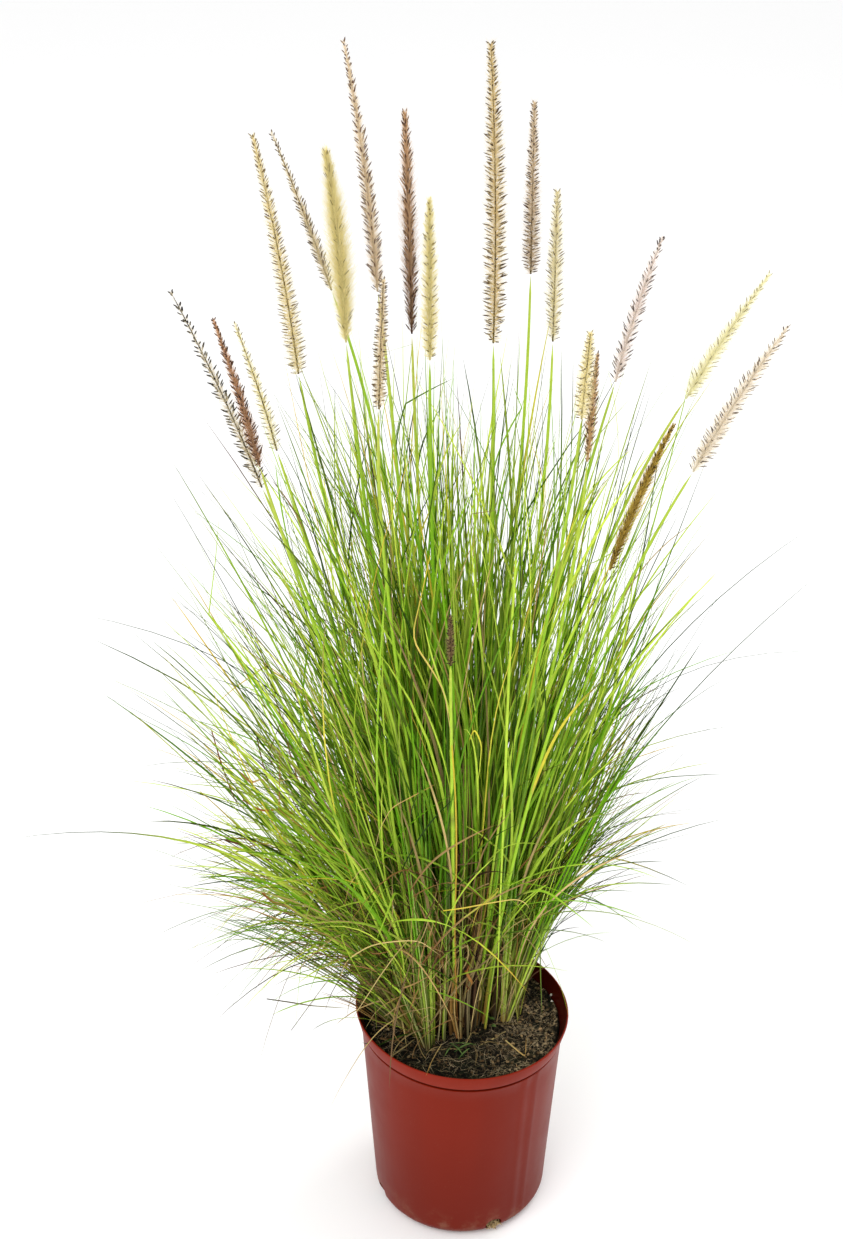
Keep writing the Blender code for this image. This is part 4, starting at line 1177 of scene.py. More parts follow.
class GRASS_OT_heads(bpy.types.Operator):
    """Makes the flower heads, each a stalk with its spikelets and their bristles"""

    bl_idname = "fountain_grass.heads"
    bl_label = "Flower heads"

    def execute(self, context):
        settings = context.scene.fountain_grass.head
        materials = {look.slot: grass(look.slot, 0.3, 0.6, 0.3) for look in reversed(HEADS)}
        for index, look in enumerate(HEADS):
            node = f"plume_{index + 1:02d}"
            strands = self.head(node, look, settings, np.random.default_rng(300 + index))
            rows = math.ceil(math.sqrt(sum(len(block[0]) for block in strands.blocks)))
            thing = strands.join(f"flower_head_{index + 1:02d}", materials[look.slot], rows)
            hand_over(thing, look.slot, node)
        return {"FINISHED"}

    def head(self, node, look, settings, chance):
        middles, radii = rings_of(node, 9)
        length = np.linalg.norm(middles[-1] - middles[0])
        stalk_t = np.linspace(0, 1, 16)
        line = smooth_line(middles, stalk_t)
        strands = Strands()
        widths = np.convolve(np.pad(radii, 1, "edge"), (0.25, 0.5, 0.25), "valid") * look.wide
        stalk_radius = np.interp(stalk_t, (0, 1), (0.62, 0.3)) * MM
        middle = look.core * np.interp(stalk_t, np.linspace(0, 1, 9), widths)
        stalk_radius += middle * np.sin(stalk_t * math.pi) ** 0.4
        stalk_tint = blend(OLIVE * 0.4, look.tip * 0.7, 0.3 + stalk_t * 0.5)
        if look.core:
            stalk_tint = blend(look.husk, look.tip, 0.25 + look.dark_foot * (1 - stalk_t)) * 0.8
        strands.add(line[None], np.array(((1.0, 0.0, 0.0),)), round_section(8), stalk_radius[None],
                    stalk_tint[None])
        n = int(length / settings.spacing * look.crowd)
        t = np.clip((np.arange(n) + 0.5 + chance.normal(size=n) * 0.5) / n, 0, 0.995)
        foot, ahead, angle, reach = self.stand(middles, widths, look, t)
        around = np.arange(n) * GOLDEN_ANGLE + chance.normal(size=n) * 0.3
        around -= look.flat * np.sin(2 * around)
        side = unit(np.cross(ahead, (0.0, 1.0, 0.0)))
        out = side * np.cos(around)[:, None] + np.cross(ahead, side) * np.sin(around)[:, None]
        angle = angle + chance.normal(size=n) * 0.1
        way = ahead * np.cos(angle)[:, None] + out * np.sin(angle)[:, None]
        size = np.clip(reach / np.maximum(np.sin(angle), 0.5), 4 * MM, 9.5 * MM)
        size = size * chance.uniform(0.74, 1.1, n)
        there = chance.random(n) > look.open_top * t**3 * 0.6 + 0.6 * np.exp(-t / 0.03)
        self.add_husks(strands, look, chance, foot[there], way[there], size[there], t[there])
        self.add_bristles(strands, look, settings, chance, n, middles, widths)
        return strands

    def stand(self, middles, widths, look, t):
        """Feet of spikelets at the shares t of the stalk, its direction there, their angle and reach."""
        foot = smooth_line(middles, t)
        ahead = unit(smooth_line(middles, t + 0.01) - foot)
        angle = np.interp(t, (0, 0.25, 1), (look.angles[0], *look.angles))
        return foot, ahead, angle, np.interp(t, np.linspace(0, 1, len(widths)), widths)

    def add_husks(self, strands, look, chance, foot, way, size, t):
        """Spikelets: slender husks, most of them with a dark outer half, on short stalks."""
        n = len(foot)
        along = np.array((0, 0.22, look.dark_from, look.dark_from + 0.14, 0.8, 1))
        lines = foot[:, None, :] + way[:, None, :] * size[:, None, None] * along[None, :, None]
        girth = chance.uniform(0.36, 0.56, (n, 1)) * MM * look.stout
        girth = girth * np.array((0.25, 0.35, 0.75, 1.0, 0.8, 0))
        dark = chance.uniform(0.85, 1.0, n) * (chance.random(n) < look.dark_share)
        husk = blend(look.husk, look.tip * 1.6, look.dark_foot * (1 - t) ** 1.5)
        husk = husk * chance.uniform(0.8, 1.12, (n, 1))
        strands.add(lines, unit(np.cross(way, UP)), round_section(5), girth,
                    blend(husk[:, None], look.tip * 0.7, dark[:, None] * np.array((0, 0, 0.4, 1, 1, 1))),
                    depths=girth * 0.8)

    def add_bristles(self, strands, look, settings, chance, spikelets, middles, widths):
        """Fine bristles all along and round the stalk, out to the ends of the spikelets."""
        t = chance.random(round(spikelets * settings.bristles * look.fluff)) * 0.995
        t = t[chance.random(len(t)) > look.open_top * t**1.5 + 0.7 * np.exp(-t / 0.04)]
        n = len(t)
        foot, ahead, angle, reach = self.stand(middles, widths, look, t)
        tilt = np.clip(angle + chance.normal(size=n) * 0.25, 0.2, 1.6)
        out = unit(np.cross(ahead, chance.normal(size=(n, 3))))
        way = ahead * np.cos(tilt)[:, None] + out * np.sin(tilt)[:, None]
        long = reach / np.maximum(np.sin(tilt), 0.5) * look.fuzz * chance.uniform(0.82, 1.4, n)
        long *= np.where(chance.random(n) < 0.02, 1.4, 1)
        lines = np.stack((foot, foot + way * long[:, None]), 1)
        girth = settings.bristle_radius * np.array((0.8, 0.35)) * np.ones((n, 1))
        tint = blend(look.bristle, look.husk, chance.random(n) * 0.5)
        tint = blend(tint, look.tip * 1.8, look.dark_foot * (1 - t) ** 1.5 * 0.85)[:, None]
        strands.add(lines, out, round_section(3), girth, np.broadcast_to(tint, lines.shape))


# --- the pot ---


def select_none():
    bpy.ops.object.select_all(action="DESELECT")


def turned(name, profile, steps):
    """Draws a profile in the XZ plane point by point and spins it round Z."""
    select_none()
    bpy.ops.mesh.primitive_plane_add(size=1 * MM, location=(0, 0, 0))
    thing = bpy.context.object
    thing.name = thing.data.name = name
    bpy.ops.object.mode_set(mode="EDIT")
    bpy.ops.mesh.select_all(action="SELECT")
    bpy.ops.mesh.merge(type="CENTER")
    here = Vector((0, 0, 0))
    for number, (radius, height) in enumerate(profile):
        there = Vector((radius, 0, height))
        if number == 0:
            bpy.ops.transform.translate(value=there - here)
        else:
            bpy.ops.mesh.extrude_vertices_move(TRANSFORM_OT_translate={"value": there - here})
        here = there
    bpy.ops.mesh.select_all(action="SELECT")
    bpy.ops.mesh.spin(steps=steps, angle=math.tau, center=(0, 0, 0), axis=(0, 0, 1))
    bpy.ops.mesh.select_all(action="SELECT")
    bpy.ops.mesh.remove_doubles(threshold=0.02 * MM)
    bpy.ops.mesh.normals_make_consistent(inside=False)
    bpy.ops.object.mode_set(mode="OBJECT")
    return thing


def arc(centre, radius, start, end, steps):
    """Points on an arc in the plane of a profile, angles in degrees."""
    angles = [math.radians(start + (end - start) * i / steps) for i in range(steps + 1)]
    return [(centre[0] + radius * math.cos(a), centre[1] + radius * math.sin(a)) for a in angles]


def oval(point):
    """How much wider than round the pot is at a point."""
    angle = math.atan2(point.y, point.x)
    return 1 + SQUEEZE * (point.z / POT_HEIGHT) ** 2 * math.cos(2 * (angle - SQUEEZE_ANGLE))


def pot_profile(groove):
    """From the axis along the inner floor, up the inside, over the lip and down the outside to the axis."""
    corner = (WALL_FOOT_RADIUS - CORNER_RADIUS, CORNER_RADIUS)
    band_foot = POT_HEIGHT - BAND_HEIGHT
    lip = WALL * 0.5
    inside = [(0, WALL), *arc(corner, CORNER_RADIUS - WALL, -90, 0, 5)]
    inside += [(WALL_FOOT_RADIUS - WALL, 40 * MM), (WALL_TOP_RADIUS - WALL - 2 * MM, 130 * MM)]
    inside += [(WALL_TOP_RADIUS - WALL, band_foot)]
    inside += arc((RIM_RADIUS - lip, POT_HEIGHT - lip), lip, 180, 0, 8)
    outside = [(BAND_FOOT_RADIUS + 0.3 * MM, band_foot + 1.4 * MM)]
    outside += [(BAND_FOOT_RADIUS + 0.1 * MM, band_foot + 0.4 * MM)]
    outside += [(BAND_FOOT_RADIUS - 0.5 * MM, band_foot), (WALL_TOP_RADIUS - groove, band_foot - 0.4 * MM)]
    outside += [(WALL_TOP_RADIUS - groove, band_foot - 2.4 * MM)]
    outside += [(WALL_TOP_RADIUS + 0.1 * MM, band_foot - 2.8 * MM)]
    outside += [(WALL_TOP_RADIUS + 0.3 * MM, band_foot - 3.3 * MM), (WALL_TOP_RADIUS, band_foot - 4 * MM)]
    rows = 14
    top, foot = np.array((WALL_TOP_RADIUS, band_foot - 4 * MM)), np.array((WALL_FOOT_RADIUS, CORNER_RADIUS))
    outside += [tuple(top + (foot - top) * i / rows) for i in range(1, rows)]
    outside += arc(corner, CORNER_RADIUS, 0, -90, 9)
    inner, outer = RECESS_RADII
    outside += [(outer + 0.4 * MM, 0), (outer - RECESS_DEPTH, RECESS_DEPTH)]
    outside += [(inner + RECESS_DEPTH, RECESS_DEPTH), (inner - 0.4 * MM, 0), (0, 0)]
    return inside + outside


class GRASS_OT_pot(bpy.types.Operator):
    """Turns the pot, cuts its drain holes and raises its seam"""

    bl_idname = "fountain_grass.pot"
    bl_label = "Pot"

    def execute(self, context):
        settings = context.scene.fountain_grass.pot
        pot = turned("nursery_pot", pot_profile(settings.groove), 180)
        self.raise_seam(pot.data, settings.seam)
        for index in range(DRAIN_HOLES):
            self.cut_hole(pot, DRAIN_FIRST_ANGLE + index * math.tau / DRAIN_HOLES)
        for vertex in pot.data.vertices:
            vertex.co.xy *= oval(vertex.co)
        select_none()
        pot.select_set(True)
        context.view_layer.objects.active = pot
        bpy.ops.object.shade_smooth_by_angle(angle=math.radians(38))
        pot.data.materials.append(pot_plastic(settings))
        hand_over(pot, "pot_plastic", "pot")
        return {"FINISHED"}

    def raise_seam(self, mesh, height):
        """The two ridges of the mould, down the outside of the wall."""
        for vertex in mesh.vertices:
            place = vertex.co
            if not CORNER_RADIUS < place.z < POT_HEIGHT - BAND_HEIGHT - 4 * MM:
                continue
            share = (place.z - CORNER_RADIUS) / WALL_RISE
            wall = WALL_FOOT_RADIUS + share * (WALL_TOP_RADIUS - WALL_FOOT_RADIUS)
            if place.xy.length < wall - WALL / 2:
                continue
            off = abs(math.remainder(math.atan2(place.y, place.x) - SEAM_ANGLE, math.pi))
            rise = height * math.exp(-(((off - SEAM_HALF) / math.radians(1.6)) ** 2))
            rise -= height * 0.35 * (off < SEAM_HALF * 0.6)
            place.xy *= 1 + rise / place.xy.length

    def cut_hole(self, pot, angle):
        select_none()
        reach = WALL_FOOT_RADIUS - CORNER_RADIUS * 0.2
        bpy.ops.mesh.primitive_cylinder_add(
            vertices=32, radius=DRAIN_RADIUS, depth=19 * MM, scale=(1, DRAIN_WIDENING, 1),
            location=(reach * math.cos(angle), reach * math.sin(angle), DRAIN_HEIGHT),
            rotation=(0, math.radians(90), angle),
        )
        cutter = bpy.context.object
        cut = pot.modifiers.new("drain_hole", "BOOLEAN")
        cut.operation = "DIFFERENCE"
        cut.object = cutter
        bpy.context.view_layer.objects.active = pot
        bpy.ops.object.modifier_apply(modifier=cut.name)
        bpy.data.objects.remove(cutter)


# --- the soil ---

MOUND_RADIUS = 64 * MM  # of the soil that is heaped under the clump
HEAP_RADIUS = 75 * MM  # of the pot's inside, to which the soil is heaped up along the wall
WHITE_GRAINS = ((71, 27, 0), (71, 20, 0), (31, 7, 0))  # places of the perlite in mm


def soil_rise(x, y, unevenness):
    """Height of the soil's surface over its mean."""
    place = Vector((x, y, 0))
    coarse = noise.noise(place * 42) * 0.8 + noise.noise(place * 130 + Vector((3, 1, 0))) * 0.6
    fine = noise.fractal(place * 430, 0.9, 2.1, 3)
    mound = max(0, 1 - (Vector((x, y, 0)) - Vector(CLUMP_CENTRE)).length / MOUND_RADIUS) * 1.2
    edge = max(0, place.length / HEAP_RADIUS - 0.72) / 0.28
    heap = edge**1.5 * (1.1 + math.cos(math.atan2(y, x) - math.radians(25))) * 0.85
    return unevenness * (coarse * 0.55 + fine * 0.3 + mound + heap - 0.35)


class GRASS_OT_soil(bpy.types.Operator):
    """Makes the bed of soil with its crumbly surface"""

    bl_idname = "fountain_grass.soil"
    bl_label = "Soil"

    def execute(self, context):
        settings = context.scene.fountain_grass.soil
        side = WALL_TOP_RADIUS - WALL - 0.3 * MM
        slope = (WALL_TOP_RADIUS - WALL_FOOT_RADIUS) / (POT_HEIGHT - BAND_HEIGHT - CORNER_RADIUS)
        edge = side - (POT_HEIGHT - BAND_HEIGHT - SOIL_TOP) * slope
        rings = 64
        profile = [(edge * i / rings, SOIL_TOP) for i in range(rings + 1)]
        profile += [(WALL_FOOT_RADIUS - WALL - 0.3 * MM, CORNER_RADIUS)]
        profile += [(WALL_FOOT_RADIUS - CORNER_RADIUS, WALL + 0.3 * MM), (0, WALL + 0.3 * MM)]
        soil = turned("soil_bed", profile, 240)
        for vertex in soil.data.vertices:
            place = vertex.co
            place.xy *= oval(place)
            if place.z > SOIL_TOP - 1 * MM and place.xy.length < edge * 0.995:
                place.z += soil_rise(place.x, place.y, settings.unevenness)
        soil.data.shade_smooth()
        soil.data.materials.append(potting_soil())
        hand_over(soil, "potting_soil", "soil")
        return {"FINISHED"}


def bare_places(chance, count, spare):
    """Random places on the soil, on a disc that stops spare short of the pot's wall."""
    radius = (WALL_TOP_RADIUS - WALL - spare) * np.sqrt(chance.random(count))
    angle = chance.uniform(0, math.tau, count)
    return outward(angle) * radius[:, None]


def drape(points, unevenness, lift):
    """Lays lines of points on the soil."""
    flat = points.reshape(-1, 3)
    rise = [soil_rise(x, y, unevenness) for x, y, _ in flat]
    flat[:, 2] += SOIL_TOP + np.array(rise)
    return flat.reshape(points.shape) + UP * lift


class GRASS_OT_litter(bpy.types.Operator):
    """Scatters roots, crumbs, bits of straw and a few white grains on the soil"""

    bl_idname = "fountain_grass.litter"
    bl_label = "Litter"

    def execute(self, context):
        settings = context.scene.fountain_grass.soil
        chance = np.random.default_rng(21)
        strands = Strands()
        self.add_fibres(strands, chance, settings)
        self.add_straw(strands, chance, settings)
        self.add_roots_in_hole(strands, chance)
        thing = strands.join("roots_and_straw", grass("dead_leaf_litter", 0.5, 0.75, 0.4), 24)
        hand_over(thing, "dead_leaf")
        strands = Strands()
        self.add_crumbs(strands, chance, settings)
        thing = strands.join("crumbs", grass("soil_crumbs", 0.6, 0.8, 0.8), 30)
        hand_over(thing, "potting_soil")
        return {"FINISHED"}

    def add_fibres(self, strands, chance, settings):
        n, t = settings.fibres, np.linspace(-0.5, 0.5, 7)
        start = bare_places(chance, n, 6 * MM)
        long = chance.uniform(3, 17, n) * MM
        angle = chance.uniform(0, math.tau, n)
        along, across = outward(angle), outward(angle + math.pi / 2)
        curl = chance.normal(size=(n, 1)) * long[:, None] * 0.35 * (t**2 * 4)
        curl += chance.normal(size=(n, 1)) * long[:, None] * 0.12 * np.sin(t * 9)
        lines = start[:, None] + along[:, None] * (long[:, None] * t)[..., None]
        lines = lines + across[:, None] * curl[..., None]
        lines = self.keep_inside(lines)
        lift = chance.uniform(-0.1, 0.7, (n, 1)) * MM
        lift = lift + chance.uniform(0, 1.3, (n, 1)) * MM * (0.25 - t**2) * 4
        lines = drape(lines, settings.unevenness, 0) + UP * lift[..., None]
        girth = chance.uniform(0.06, 0.16, (n, 1)) * MM * np.interp(t, (-0.5, 0, 0.5), (0.5, 1, 0.3))
        tone = blend(paint(10, 9, 5), paint(204, 184, 146), chance.random(n) ** 2.6)
        tone = blend(tone, paint(48, 56, 30), (chance.random(n) < 0.3) * 0.7)
        tints = np.broadcast_to(tone[:, None], lines.shape)
        strands.add(lines, across + UP * 0.3, round_section(4), girth, tints)

    def add_roots_in_hole(self, strands, chance):
        """Matted roots and peat that push out of the drain hole in front."""
        n, t = 150, np.linspace(-0.5, 0.5, 5)
        way = outward(np.array(DRAIN_FIRST_ANGLE))
        across = np.cross(UP, way)
        middle = way * (WALL_FOOT_RADIUS - 3.4 * MM) + UP * (DRAIN_HEIGHT - 1.5 * MM)
        spread = chance.normal(size=(n, 3)) * np.array((1.3, 2.6, 1.7)) * MM
        start = middle + np.stack([spread @ axis for axis in np.stack((way, across, UP), 1)], -1)
        along = unit(chance.normal(size=(n, 3)) * (1, 1, 0.7))
        curl = np.cross(along, way) * chance.normal(size=(n, 1))
        long = chance.uniform(2, 6, n)[:, None, None] * MM
        lines = start[:, None] + (along[:, None] * t[:, None] + curl[:, None] * (t**2)[:, None]) * long
        girth = chance.uniform(0.15, 0.6, (n, 1)) * MM * np.interp(t, (-0.5, 0, 0.5), (0.5, 1, 0.3))
        tone = blend(paint(92, 66, 40), paint(214, 190, 140), chance.random(n))[:, None]
        strands.add(lines, np.broadcast_to(way, along.shape), round_section(4), girth,
                    np.broadcast_to(tone, lines.shape))

    def add_straw(self, strands, chance, settings):
        n, t = 34, np.linspace(-0.5, 0.5, 7)
        start = bare_places(chance, n, 14 * MM)
        long = chance.uniform(8, 32, n) * MM
        angle = chance.uniform(0, math.tau, n)
        along, across = outward(angle), outward(angle + math.pi / 2)
        lines = start[:, None] + along[:, None] * (long[:, None] * t)[..., None]
        lines = self.keep_inside(wander(chance, lines, t + 0.5, 1.2 * MM))
        lines = drape(lines, settings.unevenness, 0.7 * MM)
        width = chance.uniform(0.5, 1.7, (n, 1)) * MM * np.interp(t, (-0.5, 0, 0.5), (0.6, 1, 0.4))
        tone = blend(STRAW * 0.6, UMBER * 0.7, chance.random(n) ** 0.7)[:, None]
        strands.add(lines, across, FOLDED_SECTION, width, np.broadcast_to(tone, lines.shape),
                    chance.normal(size=(n, 1)) * 0.5)

    def keep_inside(self, lines):
        limit = WALL_TOP_RADIUS - WALL - 3 * MM
        away = np.linalg.norm(lines[..., :2], axis=-1, keepdims=True)
        lines[..., :2] *= np.minimum(1, limit / np.maximum(away, 1e-6))
        return lines

    def add_crumbs(self, strands, chance, settings):
        """Crumbs are short, blunt, crooked strands; bits of bark are flat ones and perlite is white."""
        n, t = settings.crumbs, np.array((0, 0.18, 0.5, 0.85, 1))
        places = bare_places(chance, n, 4 * MM)
        white = np.arange(n) < len(WHITE_GRAINS)
        places[white] = np.array(WHITE_GRAINS) * MM
        size = np.where(white, chance.uniform(1.8, 3.0, n), chance.uniform(0.7, 3.2, n)) * MM
        way = unit(chance.normal(size=(n, 3)) * (1, 1, 0.45))
        middle = drape(places[:, None], settings.unevenness, 0.2 * MM)
        lines = middle + way[:, None] * (size[:, None] * (t - 0.5))[..., None]
        lines += chance.normal(size=lines.shape) * size[:, None, None] * 0.06
        girth = size[:, None] * np.array((0.22, 0.46, 0.55, 0.36, 0)) * chance.uniform(0.7, 1.1, (n, 5))
        flat = np.where(white, 0.9, chance.uniform(0.35, 0.9, n))[:, None]
        browner = np.clip(np.abs(places[:, 0] + 5 * MM) / (50 * MM), 0, 1)
        tone = blend(paint(7, 6, 3), paint(96, 74, 48), chance.random(n) ** 2.4)
        tone = blend(tone, paint(176, 146, 104), chance.random(n) ** 3 * browner)
        tone = np.where(white[:, None], paint(226, 222, 210), tone)[:, None]
        strands.add(lines, UP + way * 0.1 + chance.normal(size=(n, 3)) * 0.3, round_section(6), girth,
                    np.broadcast_to(tone, lines.shape), depths=girth * flat)


# --- loose straws ---

# Bent straws and blades that hang out of the clump: width in mm, colours of foot and tip, and the corners, in
# mm or as column and row in the photograph with y or height in mm
LOOSE_STRAWS = (
    (1.1, STRAW, STRAW, by_depth((340, 977, -62), (347, 960, -66), (371, 945, -68), (396, 940.6, -68),
        (420, 941, -62), (440, 955.6, -50))),
    (3.0, STRAW, STRAW, by_depth((408, 940, -60), (392.5, 957.5, -66), (377.5, 979, -70), (365, 1000, -74),
        (355, 1015.6, -80), (350.6, 1022.5, -84))),
    (1.6, STRAW, TAN_SHEATH, by_depth((442.5, 964, -50), (427.5, 985, -56), (417, 997.5, -58))),
    (1.3, TAN_SHEATH, STRAW, by_depth((404, 994, -46), (384, 1005, -56), (374, 1014, -62),
        (366, 1029, -68))),
    (1.0, YELLOW, STRAW, by_depth((442.5, 910.6, -70), (465, 908, -74), (487.5, 904, -76), (515, 899, -74),
        (525, 902.5, -70), (530, 910, -66))),
    (1.6, PALE_SHEATH, YELLOW, by_depth((464, 917.5, -70), (490, 899, -76), (501, 891, -78),
        (499, 884, -79), (492.5, 894, -78), (477.5, 910, -74), (471, 932.5, -64))),
    (1.6, YELLOW, STRAW, by_depth((430, 555, -70), (420, 600, -75), (411, 640, -80), (430, 665, -84),
        (445, 690, -86), (452, 740, -80))),
    (2.0, YELLOW, RUST, by_depth((452, 745, -70), (455, 800, -62), (457, 860, -54), (455, 930, -44),
        (457, 1030, -27))),
    (1.4, YELLOW, LIME, by_depth((470, 740, -84), (474, 728, -86), (482, 745, -86), (480, 770, -84),
        (476, 790, -80))),
    (3.2, LIME, LIME, by_depth((516, 560, -60), (511, 640, -58), (507, 720, -54), (505, 800, -48),
        (500, 900, -34), (497, 1012, -6))),
    (1.0, STRAW, TAN_SHEATH, by_depth((376, 846, -90), (380, 828, -92), (392, 808, -94), (412, 797, -92),
        (436, 784, -84))),
    (1.0, TAN_SHEATH, STRAW, by_depth((345, 905, -70), (350, 885, -74), (360, 870, -76), (372, 868, -74))),
    (1.4, UMBER, UMBER, by_depth((520, 990, -6), (527, 982, -8), (534, 974, -10), (551, 964, -12))),
    (0.5, UMBER, STRAW, by_depth((399, 1010.6, -50), (415, 1011, -54), (430, 1007.5, -54),
        (437.5, 1010, -46))),
    (1.2, PALE_SHEATH, UMBER, by_depth((400, 1010, -46), (395, 1021, -50), (384, 1033, -56))),
    (1.6, STRAW, STRAW, by_height((401, 1019, 186), (405, 1036, 176), (406, 1046, 168))),
    (1.6, STRAW, STRAW, by_height((406, 1017, 186), (408, 1026, 178), (409, 1034, 170))),
    (1.1, STRAW * 0.7, TAN_SHEATH, ((34, -27, 171), (42, -37, 171), (49, -44, 170), (50, -25, 173))),
    (2.6, RUST, TAN_SHEATH, ((6, -24, 244), (3, -27, 238), (6, -27, 231), (8, -25, 226), (4, -27, 220),
        (2, -24, 213))),
    (1.8, RUST, UMBER, ((2, -23, 236), (6, -27, 232), (3, -27, 225), (7, -25, 218))),
    (0.7, STRAW, TAN_SHEATH, by_height((442, 1044, 172), (436, 1054, 180), (431, 1062, 184),
        (425, 1077, 183))),
    (1.3, RUST, UMBER, ((-177, -30, 456), (-172, -30, 429), (-166, -30, 405), (-159, -30, 383))),
    (1.2, UMBER, RUST, ((-147, -20, 445), (-144, -20, 424), (-139, -20, 398))),
    (1.8, RUST, STRAW, ((-161, -30, 422), (-151, -30, 411), (-143, -30, 415), (-137, -30, 403))),
    (1.6, RUST, RUST, ((-159, -20, 389), (-146, -20, 379), (-131, -20, 382), (-118, -20, 374),
        (-106, -20, 356))),
    (1.6, UMBER, RUST, ((-175, -10, 345), (-158, -10, 340), (-149, -10, 329), (-135, -10, 326))),
    (2.0, RUST, STRAW, ((-146, -40, 321), (-139, -40, 312), (-130, -40, 310), (-119, -40, 301),
        (-106, -40, 294))),
    (1.2, RUST, UMBER, ((-116, -30, 438), (-109, -30, 419), (-105, -30, 397))),
    (1.0, DARK_UMBER, OLIVE, ((-148, -30, 211), (-130, -30, 208), (-115, -30, 205), (-85, -30, 203))),
    (0.9, DARK_UMBER, OLIVE, ((-127, -60, 207), (-101, -60, 252), (-85, -60, 281))),
)
# Leaves of the little green plants that have come up on the soil: width and corners in mm
SEEDLING_LEAVES = (
    (1.2, ((-9, -31, 171), (-2, -37, 172), (2, -45, 170))),
    (1.5, ((-5, -40, 170), (2, -35, 173), (7, -33, 172))),
    (1.2, ((-2, -48, 170), (2, -42, 172), (7, -36, 171))),
    (0.9, ((-9, -31, 170), (1, -31, 172), (13, -33, 171))),
    (1.2, ((-7, -33, 170), (-10, -40, 172), (-13, -46, 170))),
    (3.0, ((22, 0, 169), (24, -2, 171), (26, -3, 170))),
    (3.0, ((23, -9, 169), (25, -10, 171), (27, -11, 170))),
)


def traced(corners, t):
    """Points at the shares t of the line through these corners in mm, rounded a little."""
    corners = np.array(corners, float) * MM
    along = np.append(0, np.cumsum(np.linalg.norm(np.diff(corners, axis=0), axis=1)))
    line = np.stack([np.interp(t * along[-1], along, corners[:, i]) for i in range(3)], -1)
    padded = np.pad(line, ((2, 2), (0, 0)), "reflect", reflect_type="odd")
    return sum(weight * padded[i:i + len(t)] for i, weight in enumerate((0.12, 0.22, 0.32, 0.22, 0.12)))


class GRASS_OT_straws(bpy.types.Operator):
    """Makes the dry straws that arch out of the clump and lie over the rim, and the seedlings on the soil"""

    bl_idname = "fountain_grass.straws"
    bl_label = "Loose straws"

    def execute(self, context):
        strands = Strands()
        t = np.linspace(0, 1, 26)
        for width, foot, tip, corners in LOOSE_STRAWS:
            widths = width * MM * np.interp(t, (0, 0.3, 0.8, 1), (0.8, 1, 0.6, 0.1))
            strands.add(traced(corners, t)[None], np.array(((0.2, 1.0, 0.1),)), FOLDED_SECTION, widths[None],
                        blend(foot, tip, t)[None], 0.4)
        thing = strands.join("loose_straws", grass("dead_leaf_straw", 0.5, 0.6, 0.4), 4)
        hand_over(thing, "dead_leaf")
        strands = Strands()
        t = np.linspace(0, 1, 7)
        for width, corners in SEEDLING_LEAVES:
            tone = blend(paint(48, 72, 34), paint(110, 136, 70), t * 0.8)
            widths = width * MM * np.interp(t, (0, 0.5, 1), (0.5, 1, 0.2))
            line = traced(corners, t)[None]
            strands.add(line, np.array(((0.3, 1.0, 0.2),)), FOLDED_SECTION, widths[None], tone[None])
        hand_over(strands.join("seedlings", grass("seedling_green", 0.4, 0.5, 0.3), 2), "leaf_green")
        return {"FINISHED"}


# --- the stage ---


def look_at(thing, place, target):
    thing.location = place
    thing.rotation_euler = (Vector(target) - Vector(place)).to_track_quat("-Z", "Y").to_euler()


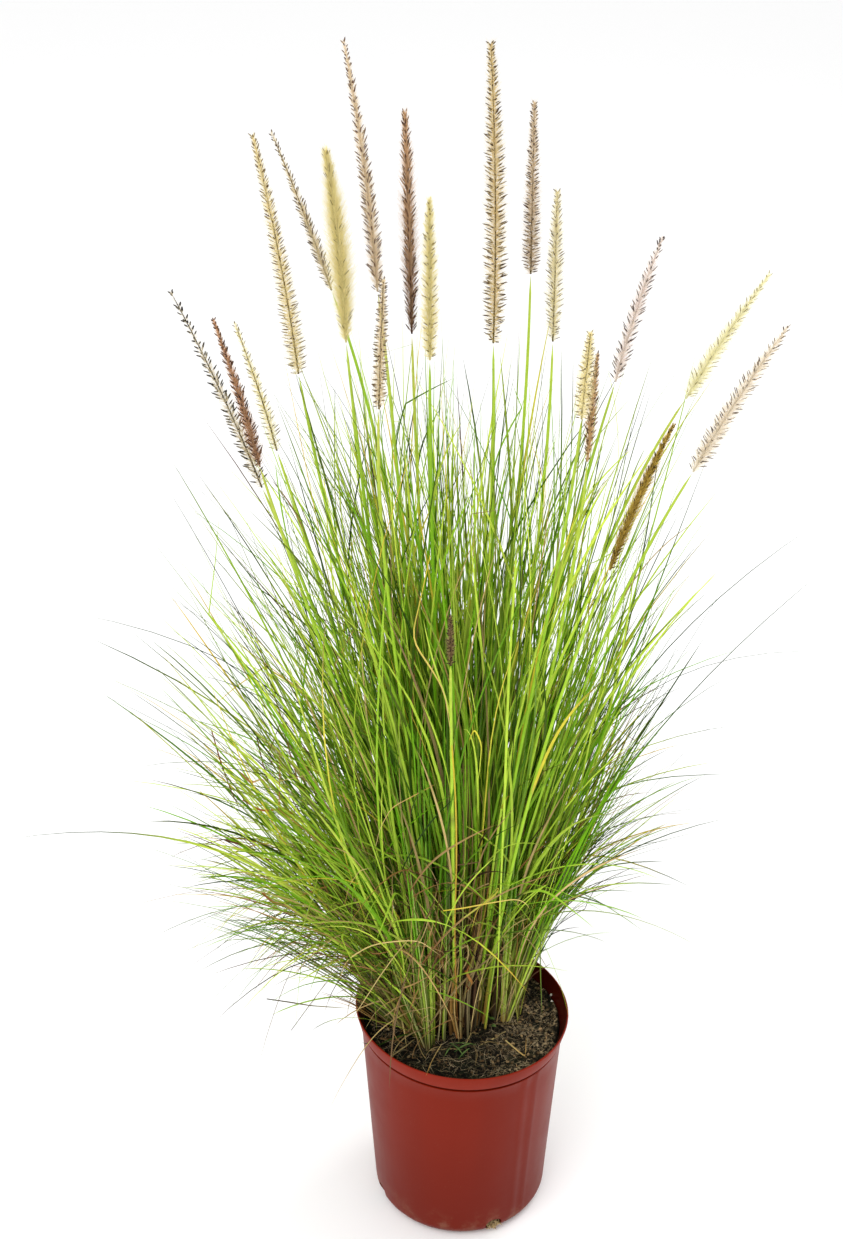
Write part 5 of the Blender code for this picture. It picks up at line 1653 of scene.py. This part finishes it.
class GRASS_OT_stage(bpy.types.Operator):
    """Sets up the floor, the soft light and the camera"""

    bl_idname = "fountain_grass.stage"
    bl_label = "Stage"

    def execute(self, context):
        settings = context.scene.fountain_grass.stage
        select_none()
        bpy.ops.mesh.primitive_plane_add(size=30, location=(0, 0, 0))
        floor = context.object
        floor.name = "floor"
        looks = {"Base Color": (*settings.floor, 1), "Roughness": 0.9, "Specular IOR Level": 0.1}
        floor.data.materials.append(Graph("floor", looks).material)
        world = bpy.data.worlds.new("daylight")
        world.use_nodes = True
        sky = world.node_tree.nodes["Background"]
        sky.inputs["Color"].default_value = (1, 1, 1, 1)
        sky.inputs["Strength"].default_value = settings.daylight
        context.scene.world = world
        self.light("key", (-0.9, -1.5, 2.2), 1.6, settings.key_power)
        self.light("rim", (1.4, 0.9, 1.7), 1.2, settings.key_power * 0.5)
        self.camera(context.scene)
        context.scene.view_settings.view_transform = "Standard"
        context.scene.view_settings.look = "None"
        return {"FINISHED"}

    def light(self, name, place, size, power):
        data = bpy.data.lights.new(name, "AREA")
        data.size = size
        data.energy = power
        lamp = bpy.data.objects.new(name, data)
        bpy.context.scene.collection.objects.link(lamp)
        look_at(lamp, place, (0, 0, 0.45))

    def camera(self, scene):
        """At the photograph's angle and with its angle of view."""
        data = bpy.data.cameras.new("camera")
        data.sensor_width = SENSOR
        data.lens = FOCAL_PIXELS / PHOTO_SIZE[1] * SENSOR
        camera = bpy.data.objects.new("camera", data)
        camera.location = CAMERA_PLACE
        camera.rotation_euler = (math.radians(90) - CAMERA_PITCH, 0, camera_yaw())
        scene.collection.objects.link(camera)
        scene.camera = camera


# --- the panel, and the run ---

OPERATORS = (
    GRASS_OT_pot,
    GRASS_OT_soil,
    GRASS_OT_litter,
    GRASS_OT_blades,
    GRASS_OT_front,
    GRASS_OT_outer,
    GRASS_OT_withered,
    GRASS_OT_straws,
    GRASS_OT_culms,
    GRASS_OT_heads,
    GRASS_OT_stage,
)
SETTINGS = (PotSettings, SoilSettings, BladeSettings, HeadSettings, StageSettings, GrassSettings)


class GRASS_PT_panel(bpy.types.Panel):
    """Lists the steps that make the potted grass, and the values that they use"""

    bl_label = "Fountain grass"
    bl_idname = "GRASS_PT_panel"
    bl_space_type = "VIEW_3D"
    bl_region_type = "UI"
    bl_category = "Fountain grass"

    def draw(self, context):
        settings = context.scene.fountain_grass
        for group in ("pot", "soil", "blade", "head", "stage"):
            box = self.layout.box()
            part = getattr(settings, group)
            for name in part.bl_rna.properties.keys():
                if name not in ("rna_type", "name"):
                    box.prop(part, name)
        for operator in OPERATORS:
            self.layout.operator(operator.bl_idname)


def register():
    for thing in (*SETTINGS, *OPERATORS, GRASS_PT_panel):
        bpy.utils.register_class(thing)
    bpy.types.Scene.fountain_grass = bpy.props.PointerProperty(type=GrassSettings)


def unregister():
    del bpy.types.Scene.fountain_grass
    for thing in reversed((*SETTINGS, *OPERATORS, GRASS_PT_panel)):
        bpy.utils.unregister_class(thing)


def main():
    register()
    select_none()
    bpy.ops.fountain_grass.pot()
    bpy.ops.fountain_grass.soil()
    bpy.ops.fountain_grass.litter()
    bpy.ops.fountain_grass.blades()
    bpy.ops.fountain_grass.front()
    bpy.ops.fountain_grass.outer()
    bpy.ops.fountain_grass.withered()
    bpy.ops.fountain_grass.straws()
    bpy.ops.fountain_grass.culms()
    bpy.ops.fountain_grass.heads()
    bpy.ops.fountain_grass.stage()


if __name__ == "__main__":
    main()
